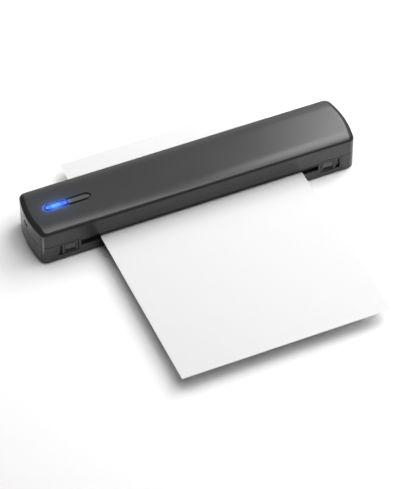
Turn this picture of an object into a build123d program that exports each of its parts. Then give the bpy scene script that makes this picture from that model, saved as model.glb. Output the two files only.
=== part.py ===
from build123d import *
from math import atan2, degrees
import os

# A portable A4 thermal printer: a hinged case with a paper channel right through it.
# Millimetres. +X is right seen from the front, -Y is the front, +Z is up.
# The origin is on the table, under the middle of the case.

# Case
end_space = 42.5  # from the end of the paper slot to the middle of the bowed end
case_depth = 62.0
case_height = 40.0
end_bow = 4.8  # how far the middle of an end stands out past its corners
corner_radius = 7.0
bevel_height = 2.4
bevel_depth = 3.6  # how far the top edge is set in from the sides
bevel_end_depth = 4.6  # and from the ends
crease_rounding = 3.0  # round the top, where the bevel meets it
belt_rounding = 2.0  # round the sides, where the bevel meets them
crown_inset = 14.1  # from the front or rear face to where the flat of the top ends
crown_fall = 1.65  # fall of the top from there to just outside the front or rear face
foot_height = 0.8
bottom_rounding = 1.3
side_wall = 2.4
top_wall = 2.0
floor_wall = 1.8
parting_z = 21.0
parting_gap = 0.6

# Paper channel
paper_width = 210.0
channel_margin = 18.5  # from half the sheet's width to the end of the slot
paper_length = 297.0
paper_thickness = 0.1
paper_z = 14.2
paper_offset = 1.7  # the sheet lies a little right of the middle
paper_front = 223.0  # how far the sheet reaches in front of the middle of the case
slot_rise = 1.1  # from the sheet up to the cover's lip
slot_drop = 2.6  # from the sheet down to the base's lip
lip_slope = 1.2  # how far the lip's lower edge is set back
lip_thickness = 2.4
lip_drop = 2.3  # upright part of the lip's outer face
lip_overlap = 0.8  # how far the lip runs up the cover's wall
tower_wall = 1.8  # wall between the paper channel and each end space
guide_thickness = 1.6
rib_gap = 0.55  # from the ribs up to the sheet
rib_thickness = 1.2
rib_count = 11
rib_margin = 10.0  # from the sheet's edge to the outermost rib
guide_boss_inset = 9.0
guide_boss_front = 24.0
guide_boss_rear = 18.0
guide_screw_length = 5.0
guide_gap = 0.3  # round the guide plates

# Paper sensor
sensor_y = 7.0
sensor_length = 6.0
sensor_width = 4.0
sensor_height = 3.8
sensor_eye_radius = 0.9
sensor_eye_reach = 1.4
sensor_board_reach = 14.0
sensor_board_front = 4.0
sensor_board_rear = 6.0
sensor_board_thickness = 1.0
sensor_post_reach = 11.0
sensor_post_back = 3.0
sensor_post_radius = 2.2

# Rear hinge
hinge_inset = 2.7  # from the rear face to the pin
barrel_radius = 2.6
barrel_inset = 1.0  # from the end space's inner wall to the first barrel
barrel_length = 5.7
barrel_gap = 0.3
cover_barrel_length = 12.0
pin_radius = 0.8
pin_clearance = 0.05
barrel_cap = 1.2  # closed end of the first barrel
hinge_foot = 2.2  # depth of the foot that joins a barrel to the rear wall
rear_step = 18.0  # height of the lower rear wall beside the hinge

# Platen roller and gears
roller_y = -8.0
roller_radius = 5.0
roller_gap = 0.15
rubber_overhang = 2.0  # past half the sheet's width
shaft_radius = 2.5
shaft_core_radius = 1.75
shaft_room = 0.8  # free room round the shaft in the lower guide and the tower wall
frame_margin = 8.5  # from the end of the slot to the side frame
frame_half_depth = 9.0
frame_toe = 2.5
frame_heel = 4.0
frame_rise = 1.0  # above the bush
frame_foot_length = 8.0
frame_foot_thickness = 1.2
frame_thickness = 2.0
bush_radius = 3.6
bush_clearance = 0.05
bush_flange = 1.0
bush_rim = 0.6
clip_width = 0.6
clip_gap = 0.3
clip_groove = 0.4
clip_rim = 1.1
shaft_end = 4.0  # past the left side frame
gear_module = 0.5
gear_width = 4.0
gear_inset = 1.9  # from the end space's inner wall to the gears
platen_teeth = 22
idler_teeth = 32
pinion_teeth = 12
idler_rise = 2.5  # idler centre above the roller centre
pinion_drop = 0.9  # pinion centre below the idler centre
gear_plate_thickness = 1.2
gear_plate_gap = 0.6
motor_radius = 7.0
motor_length = 15.0
motor_ring_radius = 1.95
motor_shaft_radius = 0.75
motor_shaft_depth = 6.0
motor_block = 6.0  # side of the cable block on the motor
motor_block_rise = 2.2
motor_screw_inset = 1.9
motor_screw_radius = 0.7
motor_screw_head = 1.15
axle_radius = 1.0
axle_head_radius = 1.8
axle_head = 0.7
gear_foot_length = 8.0
gear_foot_width = 6.0
gear_plate_drop = 1.2  # below the base's top edge

# Latches
window_inset = 0.3  # from the end space's inner wall to the latch window
window_length = 20.9
window_bottom = 7.0
window_top = 19.5
latch_fit = 0.3
latch_travel = 2.5
latch_flange = 1.5
latch_proud = 0.3  # how far the thumb piece is set back from the front face
scoop_depth = 1.6
seam_inset = 1.7  # from the latch window to the seam
seam_width = 0.5
seam_depth = 0.5
latch_spring_radius = 1.5
latch_stem_radius = 0.9
latch_wire = 0.4
latch_spring_room = 5.0
latch_spring_turns = 5
latch_stop = 1.6
latch_rail = 1.5
latch_overrun = 1.6  # how far the flange runs on past the window
latch_drop = 1.5  # and below it
hook_inset = 12.0  # from the window's inner end
hook_width = 4.0
hook_rise = 3.6
hook_nose = 1.2
hook_nose_height = 1.4
ledge_length = 5.0
ledge_gap = 0.3
ledge_thickness = 2.4
scoop_rim = 0.8  # flat edge left round the scoop
scoop_flare = 2.6  # how far the scoop's sides slope in
scoop_radius = 1.6
scoop_rounding = 1.2  # where the scoop's sides meet its floor
thumb_slope = 1.4  # the thumb piece's outer end slopes back

# Light bar on the top
bar_inset = 42.0  # from the left end to the middle of the bar
bar_y = 1.0
bar_length = 43.8
bar_width = 4.8
bar_split = 1.5  # from the middle of the bar to the cut between its halves
bar_fit = 0.25
bar_proud = 0.5
groove_margin = 2.7
groove_depth = 1.3
collar_depth = 4.0
bar_flange = 1.0
bar_flange_rim = 1.2
bar_edge = 0.8
bar_cut = 0.2  # gap between the lens and the button
button_travel = 0.8
button_gap = 0.15
switch_height = 2.05
switch_width = 6.0
plunger_height = 0.9
plunger_radius = 1.6
light_length = 3.5
light_width = 2.8
light_reach = 5.0

# Thermal head and chassis
head_overhang = 5.0  # past half the sheet's width
head_width = 16.0
strip_thickness = 1.0
sink_thickness = 3.4
head_gap = 0.15
pivot_offset = 10.0  # pivot behind the roller line
head_spring_room = 3.8  # between the heat sink and the chassis roof
pivot_radius = 0.75
channel_front_gap = 1.2
channel_rear_gap = 3.4
channel_wall = 1.5
channel_end_gap = 1.0
ear_length = 8.0
ear_height = 2.6
ear_reach = 2.2
bead_half_width = 1.0
spring_seat = 1.0
chassis_margin = 2.5  # from the end of the slot to the chassis
chassis_drop = 0.2  # the chassis lies this far above the lips' lower edges
roof_thickness = 1.2
head_spring_radius = 2.2
head_wire = 0.5
head_spring_count = 4
head_spring_inset = 15.0  # from half the sheet's width to the outermost spring

# Boards, battery and port
board_thickness = 1.2
board_clearance = 0.1  # between the board's screw heads and the chassis roof
board_inset = 9.0  # from the left end of the case
board_length = 121.0
board_depth = 37.0
board_hole_left = 6.0  # from the board's left edge
board_hole_right = 8.0
board_hole_y = 15.0
board_screw_length = 5.0
port_width = 8.9
port_height = 3.2
port_length = 7.3
port_y = 2.0
port_shell = 0.35
port_fit = 0.25
port_inset = 1.0  # from the middle of the left end to the port's mouth
tongue_reach = 3.2
tongue_thickness = 0.7
button_board_length = 64.0
button_board_width = 12.0
button_board_thickness = 1.0
button_screw_length = 4.0
cell_end_margin = 8.0  # from the cells to the right end of the chassis
cell_width = 34.0
cell_height = 8.6
cell_margin = 10.0  # from the board to the cells
cell_gap = 3.0
pad_thickness = 0.8
pad_inset = 4.0
cell_edge = 1.5
cell_board_thickness = 1.0
cell_board_inset = 3.0
# What stands on the board: middle from its left edge, middle from the centre line, then
# length, width and height.
processor = (75.0, 8.0, 12.0, 12.0, 1.4)
motor_driver = (72.0, -8.0, 8.0, 8.0, 1.2)
memory_chip = (88.0, -12.0, 8.0, 6.0, 1.3)
power_chip = (20.0, -10.0, 6.0, 5.0, 1.3)
radio_can = (40.0, -11.5, 14.0, 10.0, 2.2)
ribbon_socket = (97.0, 12.0, 24.0, 5.0, 2.4)
battery_socket = (117.0, -2.0, 6.0, 10.0, 5.0)
motor_socket = (55.0, -14.0, 10.0, 4.5, 3.0)
button_socket = (25.0, 14.5, 8.0, 4.0, 2.0)
socket_wall = 0.8
capacitor_x = (86.0, 94.0, 102.0)
capacitor_y = -3.0
capacitor_radius = 3.0
capacitor_height = 7.0
lead_radius = 0.7
lead_spacing = 3.0
ribbon_width = 20.0
ribbon_thickness = 0.3
boss_radius = 3.0
screw_radius = 1.0
screw_head_radius = 1.9
screw_head_height = 0.9
recess_length = 1.8
recess_width = 0.45
recess_depth = 0.5
chassis_boss_count = 4
chassis_boss_inset = 7.5  # from the end of the slot
chassis_boss_y = 23.5
chassis_screw_length = 7.0

foot_radius = 5.0
foot_pocket = 0.8
foot_inset = 26.0  # from the end of the case
foot_y = 21.0
middle_foot_length = 60.0
middle_foot_width = 8.0

# Sizes worked out from those above
half_depth = case_depth / 2
slot_half_width = paper_width / 2 + channel_margin
half_length = slot_half_width + end_space
rib_pitch = (paper_width - 2 * rib_margin) / (rib_count - 1)
rubber_half_length = paper_width / 2 + rubber_overhang
frame_inset = slot_half_width - frame_margin
head_half_length = paper_width / 2 + head_overhang
chassis_half_length = slot_half_width - chassis_margin
floor_z = foot_height + floor_wall
lower_top = parting_z - parting_gap / 2
upper_bottom = parting_z + parting_gap / 2
bevel_z = case_height - bevel_height
ceiling_z = case_height - top_wall
slot_bottom = paper_z - slot_drop
slot_top = paper_z + slot_rise
rib_height = slot_drop - paper_thickness / 2 - rib_gap
sensor_x = rib_pitch / 2
sensor_board_top = slot_bottom - sensor_height
inner_depth = half_depth - side_wall
tower_inner = slot_half_width + tower_wall
barrel_start = tower_inner + barrel_inset
gear_start = tower_inner + gear_inset
window_start = tower_inner + window_inset
seam_x = window_start + window_length + seam_inset
bar_centre_x = bar_inset - half_length
bar_split_x = bar_centre_x + bar_split
foot_x = half_length - foot_inset
hinge_y = half_depth - hinge_inset
hinge_z = parting_z
middle_barrel_start = barrel_start + barrel_length + barrel_gap
last_barrel_start = middle_barrel_start + cover_barrel_length + barrel_gap
last_barrel_end = last_barrel_start + barrel_length
roller_z = paper_z - paper_thickness / 2 - roller_gap - roller_radius
frame_top = roller_z + bush_radius + frame_rise
frame_face = frame_inset + frame_thickness / 2
idler_z = roller_z + idler_rise
platen_pitch = gear_module * platen_teeth / 2
idler_pitch = gear_module * idler_teeth / 2
pinion_pitch = gear_module * pinion_teeth / 2
idler_reach = platen_pitch + idler_pitch
pinion_reach = idler_pitch + pinion_pitch
idler_y = roller_y + (idler_reach**2 - idler_rise**2) ** 0.5
pinion_y = idler_y + (pinion_reach**2 - pinion_drop**2) ** 0.5
pinion_z = idler_z - pinion_drop
gear_plate_x = gear_start + gear_width + gear_plate_gap
strip_z = paper_z + paper_thickness / 2 + head_gap
sink_z = strip_z + strip_thickness
sink_top = sink_z + sink_thickness
pivot_y = roller_y + pivot_offset
pivot_z = sink_top - ear_height / 2 + 0.1
roof_z = sink_top + head_spring_room
roof_top = roof_z + roof_thickness
board_z = roof_top + screw_head_height + board_clearance
board_top = board_z + board_thickness
chassis_low = slot_top + chassis_drop
chassis_top = chassis_low + guide_thickness
board_left = board_inset - half_length
board_right = board_left + board_length
board_hole_x = (board_left + board_hole_left, board_right - board_hole_right)
cell_left = board_right + cell_margin
cell_length = (chassis_half_length - cell_end_margin - cell_left - cell_gap) / 2
flange_top = case_height - collar_depth
switch_top = flange_top - bar_flange - button_travel - button_gap
button_board_top = switch_top - switch_height
button_board_z = button_board_top - button_board_thickness
port_z = board_top + port_height / 2


def spread(reach, count):
    """Evenly spaced places from -reach to reach."""
    return [-reach + 2 * reach * index / (count - 1) for index in range(count)]


chassis_boss_x = spread(slot_half_width - chassis_boss_inset, chassis_boss_count)
head_spring_x = spread(paper_width / 2 - head_spring_inset, head_spring_count)


def block(x0, x1, y0, y1, z0, z1):
    """A plain box between two corners."""
    centre = ((x0 + x1) / 2, (y0 + y1) / 2, (z0 + z1) / 2)
    return Pos(*centre) * Box(x1 - x0, y1 - y0, z1 - z0)


def rod(x0, x1, y, z, radius):
    """A round bar along X."""
    return Pos((x0 + x1) / 2, y, z) * Rot(0, 90, 0) * Cylinder(radius, x1 - x0)


def post(x, y, z0, z1, radius):
    """A round bar along Z."""
    return Pos(x, y, (z0 + z1) / 2) * Cylinder(radius, z1 - z0)


def pill(x0, x1, y, z0, z1, width):
    """An upright bar with half-round ends."""
    sketch = SlotOverall(x1 - x0, width)
    return Pos((x0 + x1) / 2, y, z0) * extrude(sketch, z1 - z0)


def mirrored(shape):
    """The same piece for the other end of the printer."""
    return mirror(shape, about=Plane.YZ)


def save(name, shape):
    """Writes one piece, or one group of like pieces, under its own name."""
    pieces = shape if isinstance(shape, list) else [shape]
    solids = [solid for piece in pieces for solid in piece.solids()]
    whole = solids[0] if len(solids) == 1 else Compound(children=solids)
    whole.label = name
    export_step(whole, "parts/" + name + ".step")


def plan(side_inset, end_inset, radius):
    """The case seen from above: straight sides, bowed ends and round corners."""
    x = half_length - end_bow - end_inset
    y = half_depth - side_inset
    front = Line((-x, -y), (x, -y))
    right = ThreePointArc((x, -y), (x + end_bow, 0), (x, y))
    rear = Line((x, y), (-x, y))
    left = ThreePointArc((-x, y), (-x - end_bow, 0), (-x, -y))
    face = make_face([front, right, rear, left])
    return fillet(face.vertices(), radius)


def case_prism(inset, z0, z1):
    """The case outline drawn in by inset, between two heights."""
    outline = plan(inset, inset, max(corner_radius - inset, 1.0))
    return Pos(0, 0, z0) * extrude(outline, z1 - z0)


def crown_prism():
    """A long bar whose section gives the top its gentle fall to the front and rear."""
    edge_y = half_depth + 1
    flat_y = half_depth - crown_inset
    edge_z = case_height - crown_fall
    run = edge_y - flat_y
    radius = (run**2 + crown_fall**2) / (2 * crown_fall)
    half_run = run / 2
    mid_drop = radius - (radius**2 - half_run**2) ** 0.5
    top = Line((-flat_y, case_height), (flat_y, case_height))
    rear = ThreePointArc(
        (flat_y, case_height), (flat_y + half_run, case_height - mid_drop), (edge_y, edge_z)
    )
    sides = Polyline((edge_y, edge_z), (edge_y, 0), (-edge_y, 0), (-edge_y, edge_z))
    front = ThreePointArc(
        (-edge_y, edge_z), (-flat_y - half_run, case_height - mid_drop), (-flat_y, case_height)
    )
    section = make_face([top, rear, sides, front])
    return extrude(Plane.YZ * section, half_length + 2, both=True)


def soften_bevel(shell):
    """Rounds the cover's bevel off, at its crease with the top and at its belt on the sides."""
    crown_edge_y = half_depth - crown_inset

    def is_crown_edge(edge):
        return edge.length > half_length and abs(abs(edge.center().Y) - crown_edge_y) < 0.01

    crease = [
        edge
        for edge in shell.edges()
        if edge.bounding_box().min.Z > bevel_z + bevel_height / 2 and not is_crown_edge(edge)
    ]
    shell = fillet(crease, crease_rounding)
    belt = [
        edge
        for edge in shell.edges()
        if abs(edge.bounding_box().min.Z - bevel_z) + abs(edge.bounding_box().max.Z - bevel_z) < 0.01
    ]
    return fillet(belt, belt_rounding)


def lip(direction):
    """One lip of the cover over the paper slot; direction is -1 for the front, 1 for the rear."""
    outer = half_depth * direction
    inner = (half_depth - lip_thickness) * direction
    slope = (half_depth - lip_slope) * direction
    section = Polyline(
        (outer, upper_bottom + lip_overlap),
        (outer, upper_bottom - lip_drop),
        (slope, slot_top),
        (inner, slot_top),
        (inner, upper_bottom + lip_overlap),
        close=True,
    )
    face = make_face(Plane.YZ * section)
    return extrude(face, slot_half_width - 0.2, both=True)


def hinge_rods(x0, x1, radius):
    """A round bar on the hinge axis, at both ends of the case."""
    bar = rod(x0, x1, hinge_y, hinge_z, radius)
    return [bar, mirrored(bar)]


def upper_housing():
    """The cover: one thin shell with the slot lips, the hinge edge and its bosses."""
    straight = case_prism(0, upper_bottom, bevel_z)
    low = Pos(0, 0, bevel_z) * plan(0, 0, corner_radius)
    high = Pos(0, 0, case_height) * plan(
        bevel_depth, bevel_end_depth, max(corner_radius - bevel_depth, 2.0)
    )
    shell = straight + loft([low.face(), high.face()], ruled=True)
    shell = soften_bevel(shell & crown_prism())
    shell -= case_prism(side_wall, upper_bottom - 1, bevel_z)
    inner_top = plan(side_wall + bevel_depth - 1, side_wall + bevel_end_depth - 1, 4.0)
    shell -= Pos(0, 0, bevel_z - 1) * extrude(inner_top, ceiling_z - bevel_z + 1)
    shell += lip(-1)
    shell += lip(1)
    edge = rod(tower_inner - 1, half_length, hinge_y, hinge_z, barrel_radius)
    edge = edge & case_prism(0.1, hinge_z - 5, hinge_z + 5)
    edge -= block(0, half_length, 0, hinge_y - barrel_radius - 1, 0, case_height)
    shell += edge
    shell += mirrored(edge)
    relief = barrel_radius + barrel_gap
    for start in (barrel_start - barrel_gap, last_barrel_start - barrel_gap):
        end = start + barrel_length + 2 * barrel_gap
        for notch in hinge_rods(start, end, relief):
            shell -= notch
    bore_end = last_barrel_end + barrel_gap
    for bore in hinge_rods(barrel_start - barrel_gap, bore_end, pin_radius + pin_clearance):
        shell -= bore
    for x in chassis_boss_x:
        for y in (-chassis_boss_y, chassis_boss_y):
            shell += post(x, y, chassis_top, ceiling_z + 0.5, boss_radius)
            shell -= post(x, y, chassis_low, chassis_low + chassis_screw_length, screw_radius)
    for x in board_hole_x:
        for y in (-board_hole_y, board_hole_y):
            shell += post(x, y, board_top, ceiling_z + 0.5, boss_radius - 0.5)
            shell -= post(x, y, board_z, board_z + board_screw_length, screw_radius)
    return finish_top(shell)


def button_board_posts():
    """Where the small board under the light bar is screwed up to the cover."""
    reach = button_board_length / 2 - boss_radius
    return (bar_centre_x - reach, bar_centre_x + reach)


def finish_top(shell):
    """Cuts the light bar's groove and well, the port opening and the light bar's board posts."""
    half = bar_length / 2
    left = bar_centre_x - half
    right = bar_centre_x + half
    collar = groove_margin + 2.0
    shell += pill(
        left - collar,
        right + collar,
        bar_y,
        case_height - collar_depth,
        ceiling_z + 0.5,
        bar_width + 2 * collar,
    )
    for x in button_board_posts():
        low = button_board_z
        shell += post(x, bar_y, button_board_top, ceiling_z + 0.5, boss_radius - 0.5)
        shell -= post(x, bar_y, low, low + button_screw_length, screw_radius)
    shell -= pill(
        left - groove_margin,
        right + groove_margin,
        bar_y,
        case_height - groove_depth,
        case_height + 1,
        bar_width + 2 * groove_margin,
    )
    shell -= pill(
        left - bar_fit,
        right + bar_fit,
        bar_y,
        case_height - collar_depth - 1,
        case_height + 1,
        bar_width + 2 * bar_fit,
    )
    shell -= port_body(port_z, port_length + 4 * side_wall, port_fit)
    return shell


def port_body(z, length, margin):
    """The rounded bar shape of the port, lying along X at the left end."""
    sketch = SlotOverall(port_width + 2 * margin, port_height + 2 * margin)
    bar = extrude(Plane.YZ * sketch, length / 2, both=True)
    return Pos(port_mouth_x() + port_length / 2, port_y, z) * bar


def port_mouth_x():
    """The port's mouth lies just inside the bowed left end."""
    return -half_length + port_inset


def lower_housing():
    """The base: a tray with two end towers, the latch windows, guides and bosses."""
    tray = case_prism(0, foot_height, lower_top)
    tray = fillet(tray.edges().group_by(Axis.Z)[0], bottom_rounding)
    tray -= case_prism(side_wall, floor_z, lower_top + 1)
    for side in (-1, 1):
        inner = side * slot_half_width
        outer = side * tower_inner
        wall_x = sorted((inner, outer))
        tray += block(*wall_x, -inner_depth - 0.5, inner_depth + 0.5, floor_z - 0.5, lower_top)
    reach = half_length + 1
    tray -= block(
        -slot_half_width, slot_half_width, -reach, reach, slot_bottom, lower_top + 1
    )
    step_y = hinge_y - barrel_radius - barrel_gap
    tray -= block(-reach, reach, step_y, half_depth + 1, rear_step, lower_top + 1)
    for start in (barrel_start, last_barrel_start):
        for side in (-1, 1):
            x0, x1 = sorted((side * start, side * (start + barrel_length)))
            tray += rod(x0, x1, hinge_y, hinge_z, barrel_radius)
            foot_rear = hinge_y + barrel_radius / 3
            foot_top = hinge_z - barrel_radius / 2
            tray += block(x0, x1, foot_rear - hinge_foot, foot_rear, rear_step - 3, foot_top)
    bore_end = last_barrel_end + 1
    for bore in hinge_rods(barrel_start + barrel_cap, bore_end, pin_radius):
        tray -= bore
    for side in (-1, 1):
        x0, x1 = sorted((side * window_start, side * (window_start + window_length)))
        tray -= block(
            x0, x1, -half_depth - 1, -inner_depth + 1, window_bottom, window_top
        )
        seam = sorted((side * seam_x, side * (seam_x + seam_width)))
        tray -= block(
            *seam, -half_depth - 1, -half_depth + seam_depth, foot_height + 2, lower_top + 1
        )
        tray += latch_guides(side)
    tray -= rod(
        slot_half_width - 1, tower_inner + 1, roller_y, roller_z, shaft_radius + shaft_room
    )
    for x, y in foot_places():
        tray -= post(x, y, foot_height - 1, foot_height + foot_pocket, foot_radius + 0.1)
    tray -= Pos(0, 0, foot_height - 1) * extrude(
        SlotOverall(middle_foot_length + 0.2, middle_foot_width + 0.2), 1 + foot_pocket
    )
    for x, y in guide_bosses():
        tray += post(x, y, floor_z - 0.5, slot_bottom - guide_thickness, boss_radius)
        tray -= post(x, y, floor_z, slot_bottom, screw_radius)
    return tray


def latch_guides(side):
    """Two rails behind a latch that keep it against the front wall, and its spring stop."""
    rail_y = -inner_depth + latch_flange + 2 * latch_fit
    x0, x1 = sorted((side * (tower_inner + 1.5), side * (seam_x + 1)))
    rail = block(x0, x1, rail_y, rail_y + latch_rail, floor_z - 0.5, window_bottom)
    stop_x = sorted((side * latch_stop_x(), side * (latch_stop_x() + latch_stop)))
    rail += block(
        *stop_x, -inner_depth - 0.5, rail_y + latch_rail, floor_z - 0.5, window_top - 3
    )
    return rail


def latch_stop_x():
    """Where the post stands that the latch spring pushes against."""
    return window_start + window_length + latch_travel + latch_spring_room


def foot_places():
    """Centres of the four round feet."""
    return [(x, y) for x in (-foot_x, foot_x) for y in (-foot_y, foot_y)]


def guide_bosses():
    """Screw posts that carry the lower paper guide."""
    reach = paper_width / 2 - guide_boss_inset
    return [(x, y) for x in (-reach, 0.0, reach) for y in (-guide_boss_front, guide_boss_rear)]


def rubber_feet():
    """Four round feet and one long one, glued into shallow pockets."""
    feet = [post(x, y, 0, foot_height + foot_pocket, foot_radius) for x, y in foot_places()]
    middle = extrude(
        SlotOverall(middle_foot_length, middle_foot_width), foot_height + foot_pocket
    )
    return feet + [middle]


def roller_window(margin):
    """The opening in the lower guide that the roller comes up through."""
    half_x = rubber_half_length + 2 + margin
    half_y = roller_radius + 0.7 + margin
    return half_x, roller_y - half_y, roller_y + half_y


def lower_guide():
    """A ribbed plate under the sheet, open over the roller and the sensor."""
    half_x = slot_half_width - 0.4
    top = slot_bottom
    edge_y = inner_depth - guide_gap
    plate = block(-half_x, half_x, -edge_y, edge_y, top - guide_thickness, top)
    window_x, window_front, window_rear = roller_window(0)
    first = -rib_pitch * (rib_count - 1) / 2
    for index in range(rib_count):
        x = first + rib_pitch * index
        for y0, y1 in ((-edge_y, window_front), (window_rear, edge_y)):
            plate += block(
                x - rib_thickness / 2, x + rib_thickness / 2, y0, y1, top - 0.5, top + rib_height
            )
    plate -= block(-window_x, window_x, window_front, window_rear, 0, paper_z)
    for side in (-1, 1):
        x0, x1 = sorted((side * (frame_inset - 1.6), side * (clip_places()[1] + 1.2)))
        plate -= block(x0, x1, window_front - 4, window_rear + 4, 0, paper_z)
    shaft_half = shaft_core_radius + shaft_room
    shaft_left = -frame_face - shaft_end - shaft_room
    plate -= block(shaft_left, half_x + 1, roller_y - shaft_half, roller_y + shaft_half, 0, paper_z)
    plate -= sensor_space(0.3)
    for x, y in guide_bosses():
        plate -= post(x, y, 0, paper_z, screw_radius + 0.2)
        plate -= post(x, y, top - screw_head_height, paper_z, screw_head_radius + 0.3)
    return plate


def sensor_space(margin):
    """The room of the small optical sensor in the lower guide."""
    half_x = sensor_length / 2 + margin
    half_y = sensor_width / 2 + margin
    return block(
        sensor_x - half_x, sensor_x + half_x, sensor_y - half_y, sensor_y + half_y, 0, paper_z
    )


def paper_sensor():
    """A reflective sensor with two small windows, just under the sheet."""
    room = block(-half_length, half_length, -half_depth, half_depth, sensor_board_top, slot_bottom)
    body = sensor_space(0) & room
    for x in (sensor_x - sensor_eye_reach, sensor_x + sensor_eye_reach):
        body -= post(x, sensor_y, slot_bottom - 0.5, slot_bottom + 1, sensor_eye_radius)
    return body


def sensor_board():
    """A small board on two posts, which carries the paper sensor and the motor socket."""
    low = sensor_board_top - sensor_board_thickness
    front = sensor_y - sensor_board_front
    rear = sensor_y + sensor_board_rear
    left = sensor_x - sensor_board_reach
    right = sensor_x + sensor_board_reach
    board = block(left, right, front, rear, low, sensor_board_top)
    for x, y in sensor_post_places():
        board -= post(x, y, low - 1, sensor_board_top + 1, screw_radius + 0.1)
    return board


def sensor_post_places():
    """One post near each end of the sensor's board."""
    y = sensor_y + sensor_post_back
    return [(sensor_x - sensor_post_reach, y), (sensor_x + sensor_post_reach, y)]


def sensor_posts():
    """Plastic spacers under the sensor board, each with a stub through the board."""
    low = sensor_board_top - sensor_board_thickness
    return [
        post(x, y, floor_z, low, sensor_post_radius)
        + post(x, y, low, sensor_board_top + 0.8, screw_radius)
        for x, y in sensor_post_places()
    ]


def side_frame(side):
    """A bent steel bracket that carries one end of the roller."""
    x0, x1 = sorted(
        (side * (frame_inset - frame_thickness / 2), side * (frame_inset + frame_thickness / 2))
    )
    half = frame_half_depth
    upright = block(x0, x1, roller_y - half, roller_y + half, floor_z, frame_top)
    foot_x0, foot_x1 = sorted((side * (frame_inset - frame_foot_length), side * frame_inset))
    foot_top = floor_z + frame_foot_thickness
    toe_end = roller_y - half + frame_toe
    foot = block(foot_x0, foot_x1, roller_y - half, toe_end, floor_z, foot_top)
    heel_start = frame_screw_y() - frame_heel
    heel_end = frame_screw_y() + frame_heel
    rear = block(foot_x0, foot_x1, heel_start, heel_end, floor_z, foot_top)
    upright += block(x0, x1, heel_start, heel_end, floor_z, floor_z + frame_heel)
    frame = upright + foot + rear
    frame -= rod(x0 - 1, x1 + 1, roller_y, roller_z, bush_radius)
    frame -= post(
        side * frame_screw_x(), frame_screw_y(), floor_z - 1, foot_top + 1, screw_radius + 0.2
    )
    return frame


def frame_screw_x():
    """The screw stands a little inside the middle of the frame's foot."""
    return frame_inset - frame_foot_length / 2 - 1


def frame_screw_y():
    """The frame's screw is behind the upright."""
    return roller_y + frame_half_depth + 2


def platen_bushes():
    """Two flanged plastic bushes, one in each side frame."""
    rim = frame_face + bush_flange
    bush = rod(frame_face - frame_thickness, frame_face, roller_y, roller_z, bush_radius)
    bush += rod(frame_face, rim, roller_y, roller_z, bush_radius + bush_rim)
    bore = shaft_core_radius + bush_clearance
    bush -= rod(frame_face - frame_thickness - 1, rim + 1, roller_y, roller_z, bore)
    return [bush, mirrored(bush)]


def platen_shaft():
    """A stepped steel shaft: thick in the rubber, thin in the bushes and the gear."""
    shaft = rod(-rubber_half_length - 2, rubber_half_length + 2, roller_y, roller_z, shaft_radius)
    left_end = -frame_face - shaft_end
    shaft += rod(left_end, gear_start + gear_width + 0.3, roller_y, roller_z, shaft_core_radius)
    for x in clip_places():
        ring = rod(x, x + clip_width, roller_y, roller_z, shaft_core_radius + 1)
        shaft -= ring - rod(x, x + clip_width, roller_y, roller_z, shaft_core_radius - clip_groove)
    return shaft


def clip_places():
    """Grooves for the two retaining clips, outside the bushes."""
    right = frame_face + bush_flange + clip_gap
    return (-right - clip_width, right)


def retaining_clips():
    """Two open spring-steel rings that snap into the shaft's grooves."""
    clips = []
    for x in clip_places():
        ring = rod(x, x + clip_width, roller_y, roller_z, shaft_core_radius + clip_rim)
        ring -= rod(x - 1, x + 1, roller_y, roller_z, shaft_core_radius - clip_groove)
        gap = shaft_core_radius * 0.6
        top = roller_z + shaft_core_radius + clip_rim + 1
        ring -= block(x - 1, x + 2, roller_y - gap, roller_y + gap, roller_z, top)
        clips.append(ring)
    return clips


def platen_rubber():
    """The rubber sleeve that grips the sheet."""
    sleeve = rod(-rubber_half_length, rubber_half_length, roller_y, roller_z, roller_radius)
    return sleeve - rod(
        -rubber_half_length - 1, rubber_half_length + 1, roller_y, roller_z, shaft_radius
    )


def gear(teeth, phase, y, z, x0, x1, bore):
    """A spur gear along X, its teeth drawn as plain wedges with rounded-off corners."""
    pitch = gear_module * teeth / 2
    tip = pitch + gear_module * 0.85
    root = pitch - gear_module * 1.2
    step = 360 / teeth
    low, high = 0.27 * step, 0.10 * step
    outline = []
    for index in range(teeth):
        middle = phase + index * step
        for radius, angle in ((root, -low), (tip, -high), (tip, high), (root, low)):
            outline.append(Vector(radius, 0).rotate(Axis.Z, middle + angle))
    wheel = make_face(Polyline(*outline, close=True)) - Circle(bore)
    body = extrude(Plane.YZ * wheel, x1 - x0)
    return Pos(x0, y, z) * body


def mesh_phase(teeth, direction):
    """Turns a gear so that a gap between teeth faces the direction of its neighbour."""
    return direction + 180 / teeth


def angle_between(y0, z0, y1, z1):
    """Direction from one gear centre to another, in degrees from +Y."""
    return degrees(atan2(z1 - z0, y1 - y0))


def platen_gear():
    """Fixed on the right end of the roller shaft; a tooth points at the idler."""
    towards = angle_between(roller_y, roller_z, idler_y, idler_z)
    return gear(
        platen_teeth,
        towards,
        roller_y,
        roller_z,
        gear_start,
        gear_start + gear_width,
        shaft_core_radius,
    )


def idler_gear():
    """Between the motor and the roller, on its own axle; a gap faces the roller gear."""
    towards = angle_between(idler_y, idler_z, roller_y, roller_z)
    return gear(
        idler_teeth,
        mesh_phase(idler_teeth, towards),
        idler_y,
        idler_z,
        gear_start,
        gear_start + gear_width,
        axle_radius + bush_clearance,
    )


def motor_pinion():
    """Pressed on the motor shaft, turned to mesh with the idler."""
    towards = angle_between(idler_y, idler_z, pinion_y, pinion_z)
    idler_step = 360 / idler_teeth
    start = mesh_phase(idler_teeth, angle_between(idler_y, idler_z, roller_y, roller_z))
    offset = (towards - start) % idler_step
    share = offset / idler_step
    facing = towards + 180
    step = 360 / pinion_teeth
    phase = facing + (share + 0.5) * step
    return gear(
        pinion_teeth,
        phase,
        pinion_y,
        pinion_z,
        gear_start,
        gear_start + gear_width,
        motor_shaft_radius,
    )


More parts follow.
